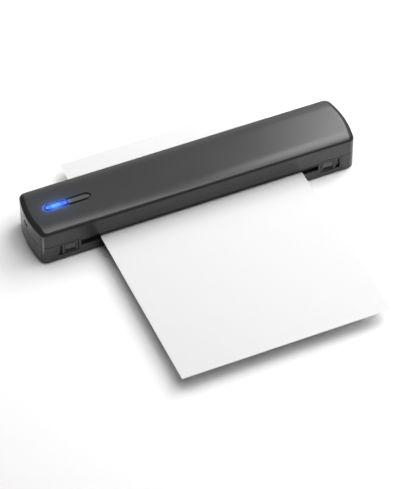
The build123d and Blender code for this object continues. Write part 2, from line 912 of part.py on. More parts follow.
def motor_shaft():
    """The steel shaft that turns in the motor's front bearing."""
    return rod(
        gear_start - 0.4,
        gear_plate_x + gear_plate_thickness + motor_shaft_depth,
        pinion_y,
        pinion_z,
        motor_shaft_radius,
    )


def idler_axle():
    """A steel pin riveted into the gear plate, with a head that keeps the idler on."""
    pin = rod(gear_start - 0.6, gear_plate_x + gear_plate_thickness, idler_y, idler_z, axle_radius)
    head = gear_start - clip_gap
    return pin + rod(head - axle_head, head, idler_y, idler_z, axle_head_radius)


def gear_plate():
    """A folded steel plate in the right end space; it carries the motor and the idler."""
    x0 = gear_plate_x
    x1 = gear_plate_x + gear_plate_thickness
    front = roller_y - 5
    rear = pinion_y + motor_radius - 0.5
    plate = block(x0, x1, front, rear, floor_z, lower_top - gear_plate_drop)
    for y in gear_screw_y():
        foot = gear_foot_width / 2
        foot_end = x1 + gear_foot_length
        plate += block(x0, foot_end, y - foot, y + foot, floor_z, floor_z + gear_plate_thickness)
    plate -= rod(x0 - 1, x1 + 1, roller_y, roller_z, shaft_core_radius + 0.6)
    plate -= rod(x0 - 1, x1 + 1, idler_y, idler_z, axle_radius)
    plate -= rod(x0 - 1, x1 + 1, pinion_y, pinion_z, motor_ring_radius + bush_clearance)
    for y in gear_screw_y():
        plate -= post(gear_screw_x(), y, floor_z - 1, floor_z + 3, screw_radius + 0.2)
    for z in motor_screw_heights():
        plate -= rod(x0 - 1, x1 + 1, pinion_y, z, motor_screw_radius)
    return plate


def gear_screw_x():
    """The gear plate's feet point towards the end of the case."""
    return gear_plate_x + gear_plate_thickness + 5


def gear_screw_y():
    """One foot is near the roller and one is under the idler."""
    return (roller_y - 2, idler_y - 6)


def motor_screw_heights():
    """The two screws sit above and below the motor shaft."""
    reach = motor_radius - motor_screw_inset
    return (pinion_z - reach, pinion_z + reach)


def feed_motor():
    """The stepper motor's can, with a raised front ring and a cable block at its side."""
    x0 = gear_plate_x + gear_plate_thickness
    can = rod(x0, x0 + motor_length, pinion_y, pinion_z, motor_radius)
    can = fillet(can.edges().sort_by(Axis.X)[-1], 0.6)
    can += rod(x0 - gear_plate_thickness + 0.2, x0 + 1, pinion_y, pinion_z, motor_ring_radius)
    bore = motor_shaft_radius + bush_clearance
    can -= rod(x0 - 2, x0 + motor_shaft_depth + 0.5, pinion_y, pinion_z, bore)
    start = x0 + motor_shaft_depth
    front = pinion_y - motor_radius
    low = pinion_z - motor_block / 2
    high = pinion_z + motor_block / 2
    can += block(start, start + motor_block, front - motor_block_rise, front + 2, low, high)
    for z in motor_screw_heights():
        can -= rod(x0 - 1, x0 + 2, pinion_y, z, motor_screw_radius)
    return can


def motor_screws():
    """Two small screws through the gear plate into the motor's front."""
    screws = []
    for z in motor_screw_heights():
        screw = rod(gear_plate_x - 0.5, gear_plate_x, pinion_y, z, motor_screw_head)
        screw += rod(gear_plate_x, gear_plate_x + 3, pinion_y, z, motor_screw_radius)
        screws.append(screw)
    return screws


def down_screw(x, y, seat_z, length):
    """A pan-head screw driven down, with a cross recess."""
    screw = post(x, y, seat_z, seat_z + screw_head_height, screw_head_radius)
    screw += post(x, y, seat_z - length, seat_z, screw_radius)
    low = seat_z + screw_head_height - recess_depth
    for long_x, long_y in ((recess_length, recess_width), (recess_width, recess_length)):
        half_x = long_x / 2
        half_y = long_y / 2
        screw -= block(x - half_x, x + half_x, y - half_y, y + half_y, low, seat_z + 3)
    return screw


def up_screw(x, y, seat_z, length):
    """The same screw driven up from below."""
    screw = down_screw(0, 0, 0, length)
    return Pos(x, y, seat_z) * Rot(180, 0, 0) * screw


def guide_screws():
    """Six screws that hold the lower guide on its posts."""
    seat = slot_bottom - screw_head_height
    return [down_screw(x, y, seat, guide_screw_length) for x, y in guide_bosses()]


def frame_screws():
    """Screws through the feet of the side frames and the gear plate, into the floor."""
    frame_seat = floor_z + frame_foot_thickness
    screws = [
        down_screw(side * frame_screw_x(), frame_screw_y(), frame_seat, frame_foot_thickness)
        for side in (-1, 1)
    ]
    plate_seat = floor_z + gear_plate_thickness
    screws += [
        down_screw(gear_screw_x(), y, plate_seat, gear_plate_thickness) for y in gear_screw_y()
    ]
    return screws


def latch(side):
    """A thumb latch: a scooped face in the window, a flange behind the wall and a hook."""
    start = window_start + latch_fit
    end = window_start + window_length - latch_travel - latch_fit
    low = window_bottom + latch_fit
    high = window_top - latch_fit
    face_y = -half_depth + latch_proud
    flange_y = -inner_depth + latch_fit
    face_end = end - thumb_slope
    back_y = flange_y + 0.5
    outline = Polyline(
        (start, face_y), (face_end, face_y), (end, back_y), (start, back_y), close=True
    )
    thumb = Pos(0, 0, low) * extrude(make_face(outline), high - low)
    thumb = chamfer(thumb.faces().sort_by(Axis.Y)[0].edges(), 0.3)
    thumb -= thumb_scoop(start, face_end, low, high, face_y)
    mid_z = (low + high) / 2
    flange = block(
        tower_inner + 0.3,
        window_start + window_length + latch_overrun,
        flange_y,
        flange_y + latch_flange,
        window_bottom - latch_drop,
        lower_top - 0.2,
    )
    hook_x = latch_hook_x()
    back_y = flange_y + latch_flange
    top = upper_bottom + hook_rise
    hook = block(hook_x, hook_x + hook_width, flange_y, back_y, lower_top - 1, top)
    nose_z = top - hook_nose_height
    hook += block(hook_x - hook_nose, hook_x + 1, flange_y, back_y, nose_z, top)
    stem = rod(
        window_start + window_length + latch_overrun - 0.4,
        latch_stop_x() - latch_travel - 0.8,
        latch_stem_y(),
        mid_z,
        latch_stem_radius,
    )
    piece = thumb + flange + hook + stem
    return piece if side > 0 else mirrored(piece)


def thumb_scoop(start, end, low, high, face_y):
    """The shallow bowl in a latch's face, as the solid that cuts it."""
    middle = ((start + end) / 2, (low + high) / 2)
    length = end - start - 2 * scoop_rim
    height = high - low - 2 * scoop_rim

    def section(depth):
        drawn_in = 2 * scoop_flare * depth / scoop_depth
        origin = (middle[0], face_y + depth, middle[1])
        plane = Plane(origin=origin, x_dir=(1, 0, 0), z_dir=(0, 1, 0))
        return plane * RectangleRounded(length - drawn_in, height - drawn_in, scoop_radius)

    bowl = loft([section(-1).face(), section(scoop_depth).face()], ruled=True)
    return fillet(bowl.faces().sort_by(Axis.Y)[-1].edges(), scoop_rounding)


def latch_stem_y():
    """The stem stands behind the middle of the flange, so that the spring clears the wall."""
    return -inner_depth + latch_fit + latch_flange / 2 + latch_stem_radius


def latch_hook_x():
    """Where the latch's hook stands, along the front wall."""
    return window_start + hook_inset


def spring(radius, wire, length, turns):
    """A round-wire compression spring along Z, starting at the origin."""
    pitch = length / turns
    path = Helix(pitch=pitch, height=length, radius=radius)
    start = Plane(origin=path @ 0, z_dir=path % 0)
    return sweep(start * Circle(wire / 2), path=path, is_frenet=True)


def latch_spring(side):
    """Pushes the latch back to its closed place."""
    start = window_start + window_length + latch_overrun + 0.3
    end = latch_stop_x() - 0.3
    y = latch_stem_y()
    z = (window_bottom + window_top) / 2
    coil = spring(latch_spring_radius, latch_wire, end - start, latch_spring_turns)
    coil = Pos(start, y, z) * Rot(0, 90, 0) * coil
    return coil if side > 0 else mirrored(coil)


def strikers():
    """Small ledges inside the cover's front wall, beside the latches' hooks."""
    end = latch_hook_x() - hook_nose - ledge_gap
    low = upper_bottom + 0.6
    back_y = -inner_depth + latch_flange + 0.8
    ledge = block(
        end - ledge_length, end, -inner_depth - 0.4, back_y, low, low + ledge_thickness
    )
    return [ledge, mirrored(ledge)]


def hinge_pins():
    """Two steel pins that join the cover to the base."""
    return hinge_rods(barrel_start + barrel_cap, last_barrel_end - 0.2, pin_radius)


def upper_chassis():
    """The plate above the sheet, with a roofed channel that holds the thermal head."""
    half_x = chassis_half_length
    half_y = inner_depth - guide_gap
    low = chassis_low
    plate = block(-half_x, half_x, -half_y, half_y, low, chassis_top)
    front, rear = head_channel()
    side_x = head_half_length + channel_end_gap
    wall_x = side_x + channel_wall
    plate += block(-wall_x, wall_x, front - channel_wall, rear + channel_wall, low, roof_top)
    plate -= block(-side_x, side_x, front, rear, low - 1, roof_z)
    for side in (-1, 1):
        x0, x1 = sorted((side * side_x, side * wall_x))
        hole = rod(x0 - 0.5, x1 + 0.5, pivot_y, pivot_z, pivot_radius)
        plate -= hole
    for x in head_spring_x:
        peg_z = roof_z - spring_seat
        plate += post(x, roller_y, peg_z, roof_z + 0.3, head_spring_radius - head_wire - 0.2)
    for x in chassis_boss_x:
        for y in (-chassis_boss_y, chassis_boss_y):
            plate -= post(x, y, low - 1, low + 5, screw_radius + 0.2)
    return plate


def head_channel():
    """Front and rear of the channel that the head swings in."""
    return roller_y - head_width / 2 - channel_front_gap, pivot_y + channel_rear_gap


def thermal_strip():
    """The ceramic strip with its glazed heater bead over the roller."""
    half = head_width / 2
    strip = block(
        -head_half_length + 1,
        head_half_length - 1,
        roller_y - half + 1,
        roller_y + half - 2,
        sink_z - strip_thickness * 0.8,
        sink_z,
    )
    strip += block(
        -head_half_length + 2,
        head_half_length - 2,
        roller_y - bead_half_width,
        roller_y + bead_half_width,
        strip_z,
        sink_z - 0.1,
    )
    return strip


def heat_sink():
    """The aluminium bar behind the strip, with ears for the pivot pins."""
    half = head_width / 2
    bar = block(
        -head_half_length, head_half_length, roller_y - half, roller_y + half, sink_z, sink_top
    )
    bar = chamfer(bar.edges().filter_by(Axis.X).group_by(Axis.Z)[-1], 0.4)
    for side in (-1, 1):
        x0, x1 = sorted((side * (head_half_length - ear_length), side * head_half_length))
        ear_low = sink_top - ear_height
        bar += block(x0, x1, roller_y + half - 1, pivot_y + ear_reach, ear_low, sink_top)
    bar -= rod(
        -head_half_length - 1, head_half_length + 1, pivot_y, pivot_z, pivot_radius + pin_clearance
    )
    for x in head_spring_x:
        bar -= post(x, roller_y, sink_top - spring_seat, sink_top + 1, head_spring_radius + head_wire)
    return bar


def pivot_pins():
    """Short steel pins through the chassis sides into the heat sink's ears."""
    pins = []
    for side in (-1, 1):
        tip = side * (head_half_length - ear_length + 1)
        end = side * (head_half_length + channel_end_gap + channel_wall)
        x0, x1 = sorted((tip, end))
        pins.append(rod(x0, x1, pivot_y, pivot_z, pivot_radius))
    return pins


def head_springs():
    """Four springs that press the head on the roller."""
    coils = []
    for x in head_spring_x:
        low = sink_top - spring_seat + head_wire
        length = roof_z - head_wire - low
        coil = spring(head_spring_radius, head_wire, length, 3)
        coils.append(Pos(x, roller_y, low) * coil)
    return coils


def main_board():
    """The control board, screwed to four posts under the cover's top."""
    half = board_depth / 2
    board = block(board_left, board_right, -half, half, board_z, board_top)
    for x in board_hole_x:
        for y in (-board_hole_y, board_hole_y):
            board -= post(x, y, board_z - 1, board_top + 1, screw_radius + 0.2)
    return board


def on_board(place, margin=0.0, low=0.0, over=0.0):
    """A box that stands on the main board, drawn in by margin."""
    from_left, y, long_side, short_side, tall = place
    x = board_left + from_left
    half_x = long_side / 2 - margin
    half_y = short_side / 2 - margin
    return block(
        x - half_x, x + half_x, y - half_y, y + half_y, board_top + low, board_top + tall + over
    )


def board_chips():
    """The processor, motor driver, memory, power chip and a row of capacitors."""
    chips = [on_board(place) for place in (processor, motor_driver, memory_chip, power_chip)]
    for from_left in capacitor_x:
        x = board_left + from_left
        chips.append(post(x, capacitor_y, board_top, board_top + capacitor_height, capacitor_radius))
    return chips


def radio_module():
    """The small shielded radio module at the front edge of the board."""
    can = on_board(radio_can)
    return chamfer(can.faces().sort_by(Axis.Z)[-1].edges(), 0.3)


def board_connectors():
    """Sockets on the board for the head, battery, motor and light bar."""
    return [
        on_board(place) - on_board(place, socket_wall, socket_wall, 1.0)
        for place in (ribbon_socket, battery_socket, motor_socket, button_socket)
    ]


def board_screws():
    """Four screws that hold the main board to the cover."""
    return [
        up_screw(x, y, board_z, board_screw_length)
        for x in board_hole_x
        for y in (-board_hole_y, board_hole_y)
    ]


def usb_port():
    """A metal shell with a tongue inside, lying on the board's left edge."""
    shell = port_body(port_z, port_length, 0)
    inner = port_body(port_z, port_length, -port_shell)
    shell -= Pos(-1.2, 0, 0) * inner
    half = tongue_thickness / 2
    start = port_mouth_x() + 1.0
    end = port_mouth_x() + port_length - 0.6
    tongue = block(
        start, end, port_y - tongue_reach, port_y + tongue_reach, port_z - half, port_z + half
    )
    return shell + tongue


def button_board():
    """The narrow board under the light bar."""
    half = button_board_length / 2
    wide = button_board_width / 2
    board = block(
        bar_centre_x - half,
        bar_centre_x + half,
        bar_y - wide,
        bar_y + wide,
        button_board_z,
        button_board_top,
    )
    for x in button_board_posts():
        board -= post(x, bar_y, button_board_z - 1, button_board_top + 1, screw_radius)
    return board


def button_board_screws():
    """Two small screws that hold the narrow board up to the cover."""
    return [up_screw(x, bar_y, button_board_z, button_screw_length) for x in button_board_posts()]


def power_switch():
    """The tact switch under the power button."""
    x = (bar_split_x + bar_centre_x + bar_length / 2) / 2
    half = switch_width / 2
    body_top = switch_top - plunger_height
    body = block(x - half, x + half, bar_y - half, bar_y + half, button_board_top, body_top)
    return body + post(x, bar_y, body_top - 0.3, switch_top, plunger_radius)


def status_lights():
    """Two blue lights under the lens."""
    middle = (bar_centre_x - bar_length / 2 + bar_split_x) / 2
    half_x = light_length / 2
    half_y = light_width / 2
    top = switch_top - 0.3
    return [
        block(x - half_x, x + half_x, bar_y - half_y, bar_y + half_y, button_board_top, top)
        for x in (middle - light_reach, middle + light_reach)
    ]


def light_bar():
    """The whole pill-shaped bar, with its flange, before it is cut in two."""
    left = bar_centre_x - bar_length / 2
    right = bar_centre_x + bar_length / 2
    low = flange_top - bar_flange
    bar = pill(left, right, bar_y, low, case_height + bar_proud, bar_width)
    bar = fillet(bar.faces().sort_by(Axis.Z)[-1].edges(), bar_edge)
    rim = bar_flange_rim
    return bar + pill(left - rim, right + rim, bar_y, low, flange_top, bar_width + 2 * rim)


def bar_part(x0, x1):
    """The part of the light bar between two places along X."""
    low = flange_top - bar_flange - 1
    return light_bar() & block(x0, x1, bar_y - bar_width, bar_y + bar_width, low, case_height + 1)


def status_lens():
    """The left half of the light bar, which glows."""
    return bar_part(bar_centre_x - bar_length, bar_split_x - bar_cut / 2)


def power_button():
    """The right half of the light bar, which is pressed."""
    return bar_part(bar_split_x + bar_cut / 2, bar_centre_x + bar_length)


def battery_cells():
    """Two flat pouch cells, end to end."""
    low = roof_top + pad_thickness
    cells = []
    for index in range(2):
        x = cell_left + index * (cell_length + cell_gap)
        cell = block(x, x + cell_length, -cell_width / 2, cell_width / 2, low, low + cell_height)
        cells.append(fillet(cell.edges().filter_by(Axis.X), cell_edge))
    return cells


def battery_pads():
    """Foam tape that holds the cells to the chassis roof."""
    front, rear = head_channel()
    low = roof_top
    pads = []
    for index in range(2):
        x = cell_left + index * (cell_length + cell_gap)
        pads.append(
            block(
                x + pad_inset,
                x + cell_length - pad_inset,
                front + 1,
                rear - 1,
                low,
                low + pad_thickness,
            )
        )
    return pads


def battery_board():
    """The cells' protection board, at their right end."""
    x = cell_left + 2 * cell_length + cell_gap + 0.3
    low = roof_top + pad_thickness
    half = cell_width / 2 - cell_board_inset
    return block(x, x + cell_board_thickness, -half, half, low, low + cell_height - 1)


def battery_leads():
    """Two insulated leads from the left cell to the socket on the main board."""
    from_left, middle, long_side, _, tall = battery_socket
    start = board_left + from_left + long_side / 2
    height = board_top + tall / 2 + lead_radius
    leads = []
    for y in (middle - lead_spacing / 2, middle + lead_spacing / 2):
        leads.append(rod(start, cell_left, y, height, lead_radius))
    return leads


def head_ribbon():
    """A flat ribbon from the main board over the chassis edge to the thermal head."""
    front, rear = head_channel()
    x0 = board_left + ribbon_socket[0] - ribbon_width / 2
    x1 = x0 + ribbon_width
    near = rear + channel_wall + 0.3
    low = board_z - ribbon_thickness
    down = block(x0, x1, near, near + ribbon_thickness, chassis_top, low)
    return down + block(x0, x1, near, board_depth / 2, low, board_z)


def chassis_screws():
    """Eight screws that hold the chassis up to the cover."""
    return [
        up_screw(x, y, chassis_low, chassis_screw_length)
        for x in chassis_boss_x
        for y in (-chassis_boss_y, chassis_boss_y)
    ]


def paper_sheet():
    """One A4 sheet, lying through the slots as in use."""
    x0 = paper_offset - paper_width / 2
    return block(
        x0,
        x0 + paper_width,
        -paper_front,
        paper_length - paper_front,
        paper_z - paper_thickness / 2,
        paper_z + paper_thickness / 2,
    )


def cover_with_strikers():
    """The cover shell with the ledges that the latches hold."""
    shell = upper_housing()
    for ledge in strikers():
        shell += ledge
    return shell


os.makedirs("parts", exist_ok=True)
save("upper_housing", cover_with_strikers())
save("lower_housing", lower_housing())
save("rubber_feet", rubber_feet())
save("lower_guide", lower_guide())
save("side_frame_left", side_frame(-1))
save("side_frame_right", side_frame(1))
save("platen_bushes", platen_bushes())
save("platen_shaft", platen_shaft())
save("platen_rubber", platen_rubber())
save("platen_gear", platen_gear())
save("retaining_clips", retaining_clips())
save("idler_gear", idler_gear())
save("idler_axle", idler_axle())
save("gear_plate", gear_plate())
save("feed_motor", feed_motor())
save("motor_shaft", motor_shaft())
save("motor_pinion", motor_pinion())
save("motor_screws", motor_screws())
save("guide_screws", guide_screws())
save("frame_screws", frame_screws())
save("paper_sensor", paper_sensor())
save("sensor_board", sensor_board())
save("sensor_posts", sensor_posts())
save("left_latch", latch(-1))
save("right_latch", latch(1))
save("left_latch_spring", latch_spring(-1))
save("right_latch_spring", latch_spring(1))
save("hinge_pins", hinge_pins())
save("upper_chassis", upper_chassis())
save("chassis_screws", chassis_screws())
save("thermal_strip", thermal_strip())
save("heat_sink", heat_sink())
save("head_pivot_pins", pivot_pins())
save("head_springs", head_springs())
save("head_ribbon", head_ribbon())
save("main_board", main_board())
save("board_chips", board_chips())
save("radio_module", radio_module())
save("board_connectors", board_connectors())
save("board_screws", board_screws())
save("usb_port", usb_port())
save("button_board", button_board())
save("button_board_screws", button_board_screws())
save("power_switch", power_switch())
save("status_lights", status_lights())
save("status_lens", status_lens())
save("power_button", power_button())
save("battery_cells", battery_cells())
save("battery_pads", battery_pads())
save("battery_board", battery_board())
save("battery_leads", battery_leads())
save("paper_sheet", paper_sheet())
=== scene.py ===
import bmesh
import bpy
import math
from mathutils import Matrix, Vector


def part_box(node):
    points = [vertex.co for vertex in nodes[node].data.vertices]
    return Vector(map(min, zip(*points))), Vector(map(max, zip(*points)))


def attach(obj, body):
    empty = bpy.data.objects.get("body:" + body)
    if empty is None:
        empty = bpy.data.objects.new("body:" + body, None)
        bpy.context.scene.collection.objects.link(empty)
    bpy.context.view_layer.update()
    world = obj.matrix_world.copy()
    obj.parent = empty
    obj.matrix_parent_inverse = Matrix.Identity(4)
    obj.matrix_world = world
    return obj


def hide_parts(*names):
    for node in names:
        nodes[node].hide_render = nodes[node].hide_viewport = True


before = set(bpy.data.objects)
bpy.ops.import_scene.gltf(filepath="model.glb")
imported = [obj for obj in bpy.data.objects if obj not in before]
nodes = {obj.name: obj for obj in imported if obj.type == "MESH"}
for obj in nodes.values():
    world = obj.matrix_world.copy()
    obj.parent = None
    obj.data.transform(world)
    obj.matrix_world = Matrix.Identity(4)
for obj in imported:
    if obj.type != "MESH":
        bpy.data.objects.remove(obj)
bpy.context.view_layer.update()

# Camera. A long lens far off, above the front left of the printer. Its place was fitted to
# the four corners of the A4 sheet, which show the true proportions of the whole picture.
azimuth = math.radians(-23.74)
elevation = math.radians(46.8)
distance = 2.6526
aim = Vector((-0.01633, -0.06514, 0.0))
focal_pixels = 2800
picture_height = 489
sensor = 36
view_depth = 20
back = Vector(
    (
        math.sin(azimuth) * math.cos(elevation),
        -math.cos(azimuth) * math.cos(elevation),
        math.sin(elevation),
    )
)
camera_data = bpy.data.cameras.new("camera")
camera_data.sensor_width = sensor
camera_data.lens = focal_pixels * sensor / picture_height
camera_data.clip_end = view_depth
camera = bpy.data.objects.new("camera", camera_data)
camera.location = aim + back * distance
camera.rotation_euler = back.to_track_quat("Z", "Y").to_euler()
bpy.context.scene.collection.objects.link(camera)
bpy.context.scene.camera = camera

# Studio. A dim room with a ring of softboxes, strongest on the right, and panels that are only
# mirrored in the gloss: for the crowned top, its ridge, its right end and the near corner.
room_white = (1, 1, 1, 1)
room_fill = 0.03
room_gloss = 0.03
room_backdrop = 1.0
view = bpy.context.scene.view_settings
view.view_transform = "Standard"
view.look = "None"
world = bpy.data.worlds.new("room")
world.use_nodes = True
room = world.node_tree
ray = room.nodes.new("ShaderNodeLightPath")
room_shader = room.nodes["Background"]
room_shader.inputs["Color"].default_value = room_white
room_shader.inputs["Strength"].default_value = room_fill
for strength, kind in ((room_gloss, "Is Glossy Ray"), (room_backdrop, "Is Camera Ray")):
    other = room.nodes.new("ShaderNodeBackground")
    other.inputs["Color"].default_value = room_white
    other.inputs["Strength"].default_value = strength
    choice = room.nodes.new("ShaderNodeMixShader")
    room.links.new(ray.outputs[kind], choice.inputs[0])
    room.links.new(room_shader.outputs[0], choice.inputs[1])
    room.links.new(other.outputs[0], choice.inputs[2])
    room_shader = choice
room.links.new(room_shader.outputs[0], room.nodes["World Output"].inputs["Surface"])
bpy.context.scene.world = world

softbox_size = (0.7, 0.7)
printer_middle = (0, 0, 0.03)
right_end = (0.1, 0, 0.03)
card_place = (-0.1833, -0.0396, 0.0004)
card_above = (-0.1833, -0.0396, 1)
card_turn = math.radians(23.7)
softboxes = (
    ((0.0, 0.0, 1.25), 2.5),
    ((0.6, 0.0, 1.25), 3.5),
    ((0.3, 0.6, 1.1), 0.8),
    ((0.95, 0.0, 0.8), 3.7),
    ((0.3, -0.6, 1.1), 2.9),
    ((-0.3, 0.6, 1.1), 2.0),
    ((0.9, 0.6, 0.8), 4.9),
)
panels = (
    ("ridge_panel", (0.42, 0.3, 1.4), printer_middle, (1.3, 0.25), 5.0),
    ("right_panel", (0.62, 0.62, 0.86), right_end, (0.3, 0.55), 7.2),
    ("back_panel", (0.35, 0.95, 0.85), printer_middle, (1.6, 0.7), 0.56),
    ("low_panel", (0.5, 1.1, 0.55), printer_middle, (1.8, 0.5), 0.9),
    ("corner_card", card_place, card_above, (0.02, 0.012), 2.4),
)


def soft_lamp(name, place, target, size, radiance, gloss=False):
    """An oblong softbox that faces its target; radiance is its brightness per area."""
    lamp = bpy.data.lights.new(name, "AREA")
    lamp.shape = "RECTANGLE"
    lamp.size, lamp.size_y = size
    lamp.energy = radiance * math.pi * size[0] * size[1]
    holder = bpy.data.objects.new(name, lamp)
    holder.location = place
    direction = Vector(place) - Vector(target)
    holder.rotation_euler = direction.to_track_quat("Z", "Y").to_euler()
    holder.visible_diffuse = not gloss
    holder.visible_glossy = gloss
    bpy.context.scene.collection.objects.link(holder)


for index, (place, radiance) in enumerate(softboxes):
    soft_lamp("softbox_%d" % index, place, printer_middle, softbox_size, radiance)
for name, place, target, size, radiance in panels:
    soft_lamp(name, place, target, size, radiance, gloss=True)
bpy.data.objects["corner_card"].rotation_euler = (math.pi, 0, card_turn)

# Table. A wide white light table that the printer stands on. It is lit from below only far
# from the printer, so that the distance stays white.
table_half = 4
table_white = (0.93, 0.93, 0.93)
table_roughness = 0.9
table_glow_start = 0.45
table_glow_end = 1.5
table_glow_strength = 0.8


def new_finish(name):
    """An empty material and its main shader."""
    finish = bpy.data.materials.new(name)
    finish.use_nodes = True
    return finish, finish.node_tree.nodes["Principled BSDF"]


def feed(finish, socket, term):
    """Gives a socket a fixed value, or the output of another node."""
    if isinstance(term, bpy.types.NodeSocket):
        finish.node_tree.links.new(term, socket)
    else:
        socket.default_value = term


def add(finish, kind, **terms):
    """Adds a node to a finish and sets its inputs and settings by name."""
    node = finish.node_tree.nodes.new(kind)
    for key, term in terms.items():
        if key in node.inputs:
            feed(finish, node.inputs[key], term)
        else:
            setattr(node, key, term)
    return node


def own_place(finish):
    """Where each point lies, in the piece's own frame."""
    return add(finish, "ShaderNodeTexCoord").outputs["Object"]


def vector_sum(finish, operation, result, *terms):
    """One sum on places or directions; result is the output it gives, Vector or Value."""
    step = add(finish, "ShaderNodeVectorMath", operation=operation)
    for socket, term in zip(step.inputs, terms):
        feed(finish, socket, term)
    return step.outputs[result]


def scaled(finish, signal, start, end, low=0.0, high=1.0):
    """A signal stretched so that start gives low and end gives high."""
    stretch = add(finish, "ShaderNodeMapRange", Value=signal)
    for name, value in zip(("From Min", "From Max", "To Min", "To Max"), (start, end, low, high)):
        stretch.inputs[name].default_value = value
    return stretch.outputs["Result"]


table_mesh = bpy.data.meshes.new("table")
table_edit = bmesh.new()
bmesh.ops.create_grid(table_edit, x_segments=1, y_segments=1, size=table_half)
table_edit.to_mesh(table_mesh)
table_edit.free()
table = bpy.data.objects.new("table", table_mesh)
bpy.context.scene.collection.objects.link(table)
table_finish, table_shader = new_finish("table_white")
table_shader.inputs["Base Color"].default_value = (*table_white, 1)
table_shader.inputs["Roughness"].default_value = table_roughness
table_shader.inputs["Emission Color"].default_value = (1, 1, 1, 1)
table_radius = vector_sum(table_finish, "LENGTH", "Value", own_place(table_finish))
table_glow = scaled(
    table_finish, table_radius, table_glow_start, table_glow_end, high=table_glow_strength
)
feed(table_finish, table_shader.inputs["Emission Strength"], table_glow)
table_mesh.materials.append(table_finish)

# Cover and base. Two moulded shells of dark grey plastic with a fine spark grain, rubbed a little
# brighter along their edges. Round the paper slot they carry painted shade: a dark, matt band.
plastic_grey = (0.022, 0.022, 0.023)
plastic_rubbed = (0.034, 0.034, 0.035)
plastic_spread = 0.08
plastic_roughness = 0.24
plastic_ior = 1.5
spark_scale = 2600
spark_strength = 0.1
rubbed_width = 0.0005
smooth_likeness = 0.995
paler_edge_likeness = 0.9
gloss_wander = 0.14
grain_depth = 0.0001
weld_reach = 0.000002
sharp_angle = math.radians(25)
lip_shade_low = (-0.1235, -0.032, 0.015)
lip_shade_high = (0.1235, 0.032, 0.0199)
lip_painted_shade = (0.009, 0.009, 0.009)
plastic_specular = 0.5
lip_shade_specular = 0.12


def number_sum(finish, operation, *terms):
    """One sum on plain signals."""
    step = add(finish, "ShaderNodeMath", operation=operation)
    for socket, term in zip(step.inputs, terms):
        feed(finish, socket, term)
    return step.outputs[0]


def blended(finish, share, under, over):
    """Two colours mixed by a signal; sockets 6 and 7 are the mix's colours, 2 its result."""
    mix = add(finish, "ShaderNodeMix", data_type="RGBA")
    for index, term in ((0, share), (6, under), (7, over)):
        feed(finish, mix.inputs[index], term)
    return mix.outputs[2]


def blotched(finish, shader, colour, spread, roughness, scale):
    """Colour and gloss that wander a little over the surface, as on any moulded or cast skin."""
    place = own_place(finish)
    cloud = add(finish, "ShaderNodeTexNoise", Vector=place, Scale=scale, Detail=4.0)
    shades = [(*[c * share for c in colour], 1) for share in (1 - spread, 1 + spread)]
    feed(finish, shader.inputs["Base Color"], blended(finish, cloud.outputs["Fac"], *shades))
    gloss = [roughness * share for share in (1 - gloss_wander, 1 + gloss_wander)]
    feed(finish, shader.inputs["Roughness"], scaled(finish, cloud.outputs["Fac"], 0, 1, *gloss))
    return place


def bumped(finish, shader, height, strength):
    """Raises the surface by a height signal."""
    bump = add(finish, "ShaderNodeBump", Height=height, Strength=strength, Distance=grain_depth)
    feed(finish, shader.inputs["Normal"], bump.outputs["Normal"])


def grained(name, colour, spread, roughness, grain, strength, mottle=18):
    """Moulded plastic, rubber or card: uneven colour and gloss, and a fine grain."""
    finish, shader = new_finish(name)
    place = blotched(finish, shader, colour, spread, roughness, mottle)
    speck = add(finish, "ShaderNodeTexNoise", Vector=place, Scale=grain, Detail=2.0)
    bumped(finish, shader, speck.outputs["Fac"], strength)
    return finish, shader


def patched(finish, shader, mask, colour, metallic=None):
    """Lays another colour where the mask is 1; metallic is the pair outside and inside it."""
    under = shader.inputs["Base Color"].links[0].from_socket
    feed(finish, shader.inputs["Base Color"], blended(finish, mask, under, (*colour, 1)))
    if metallic:
        feed(finish, shader.inputs["Metallic"], scaled(finish, mask, 0, 1, *metallic))


def rub_and_highlight_edges(finish, shader, colour, width):
    """Makes a finish paler along its edges: rubbed wear, and on the power button also a painted
    highlight.
    """
    rounded = add(finish, "ShaderNodeBevel", samples=4, Radius=width).outputs["Normal"]
    flat = add(finish, "ShaderNodeNewGeometry").outputs["Normal"]
    likeness = vector_sum(finish, "DOT_PRODUCT", "Value", rounded, flat)
    patched(finish, shader, scaled(finish, likeness, smooth_likeness, paler_edge_likeness), colour)


def within(finish, place, low, high):
    """A signal that is 1 inside a box and 0 outside it."""
    low = Vector(low)
    high = Vector(high)
    centred = vector_sum(finish, "SUBTRACT", "Vector", place, (low + high) / 2)
    folded = vector_sum(finish, "ABSOLUTE", "Vector", centred)
    outside = vector_sum(finish, "SUBTRACT", "Vector", folded, (high - low) / 2)
    across, along, up = add(finish, "ShaderNodeSeparateXYZ", Vector=outside).outputs
    farthest = number_sum(finish, "MAXIMUM", number_sum(finish, "MAXIMUM", across, along), up)
    return number_sum(finish, "LESS_THAN", farthest, 0)


def dress(finish, *names, edge=0.0003):
    """Gives carried-over pieces their finish and breaks their sharp edges."""
    for name in names:
        piece = nodes[name]
        piece.data.materials.clear()
        piece.data.materials.append(finish)
        joined = piece.modifiers.new("joined", "WELD")
        joined.merge_threshold = weld_reach
        broken = piece.modifiers.new("broken_edges", "BEVEL")
        broken.width = edge
        broken.segments = 2
        broken.limit_method = "ANGLE"
        broken.angle_limit = sharp_angle
        broken.use_clamp_overlap = True
        even = piece.modifiers.new("even_normals", "WEIGHTED_NORMAL")
        even.keep_sharp = False


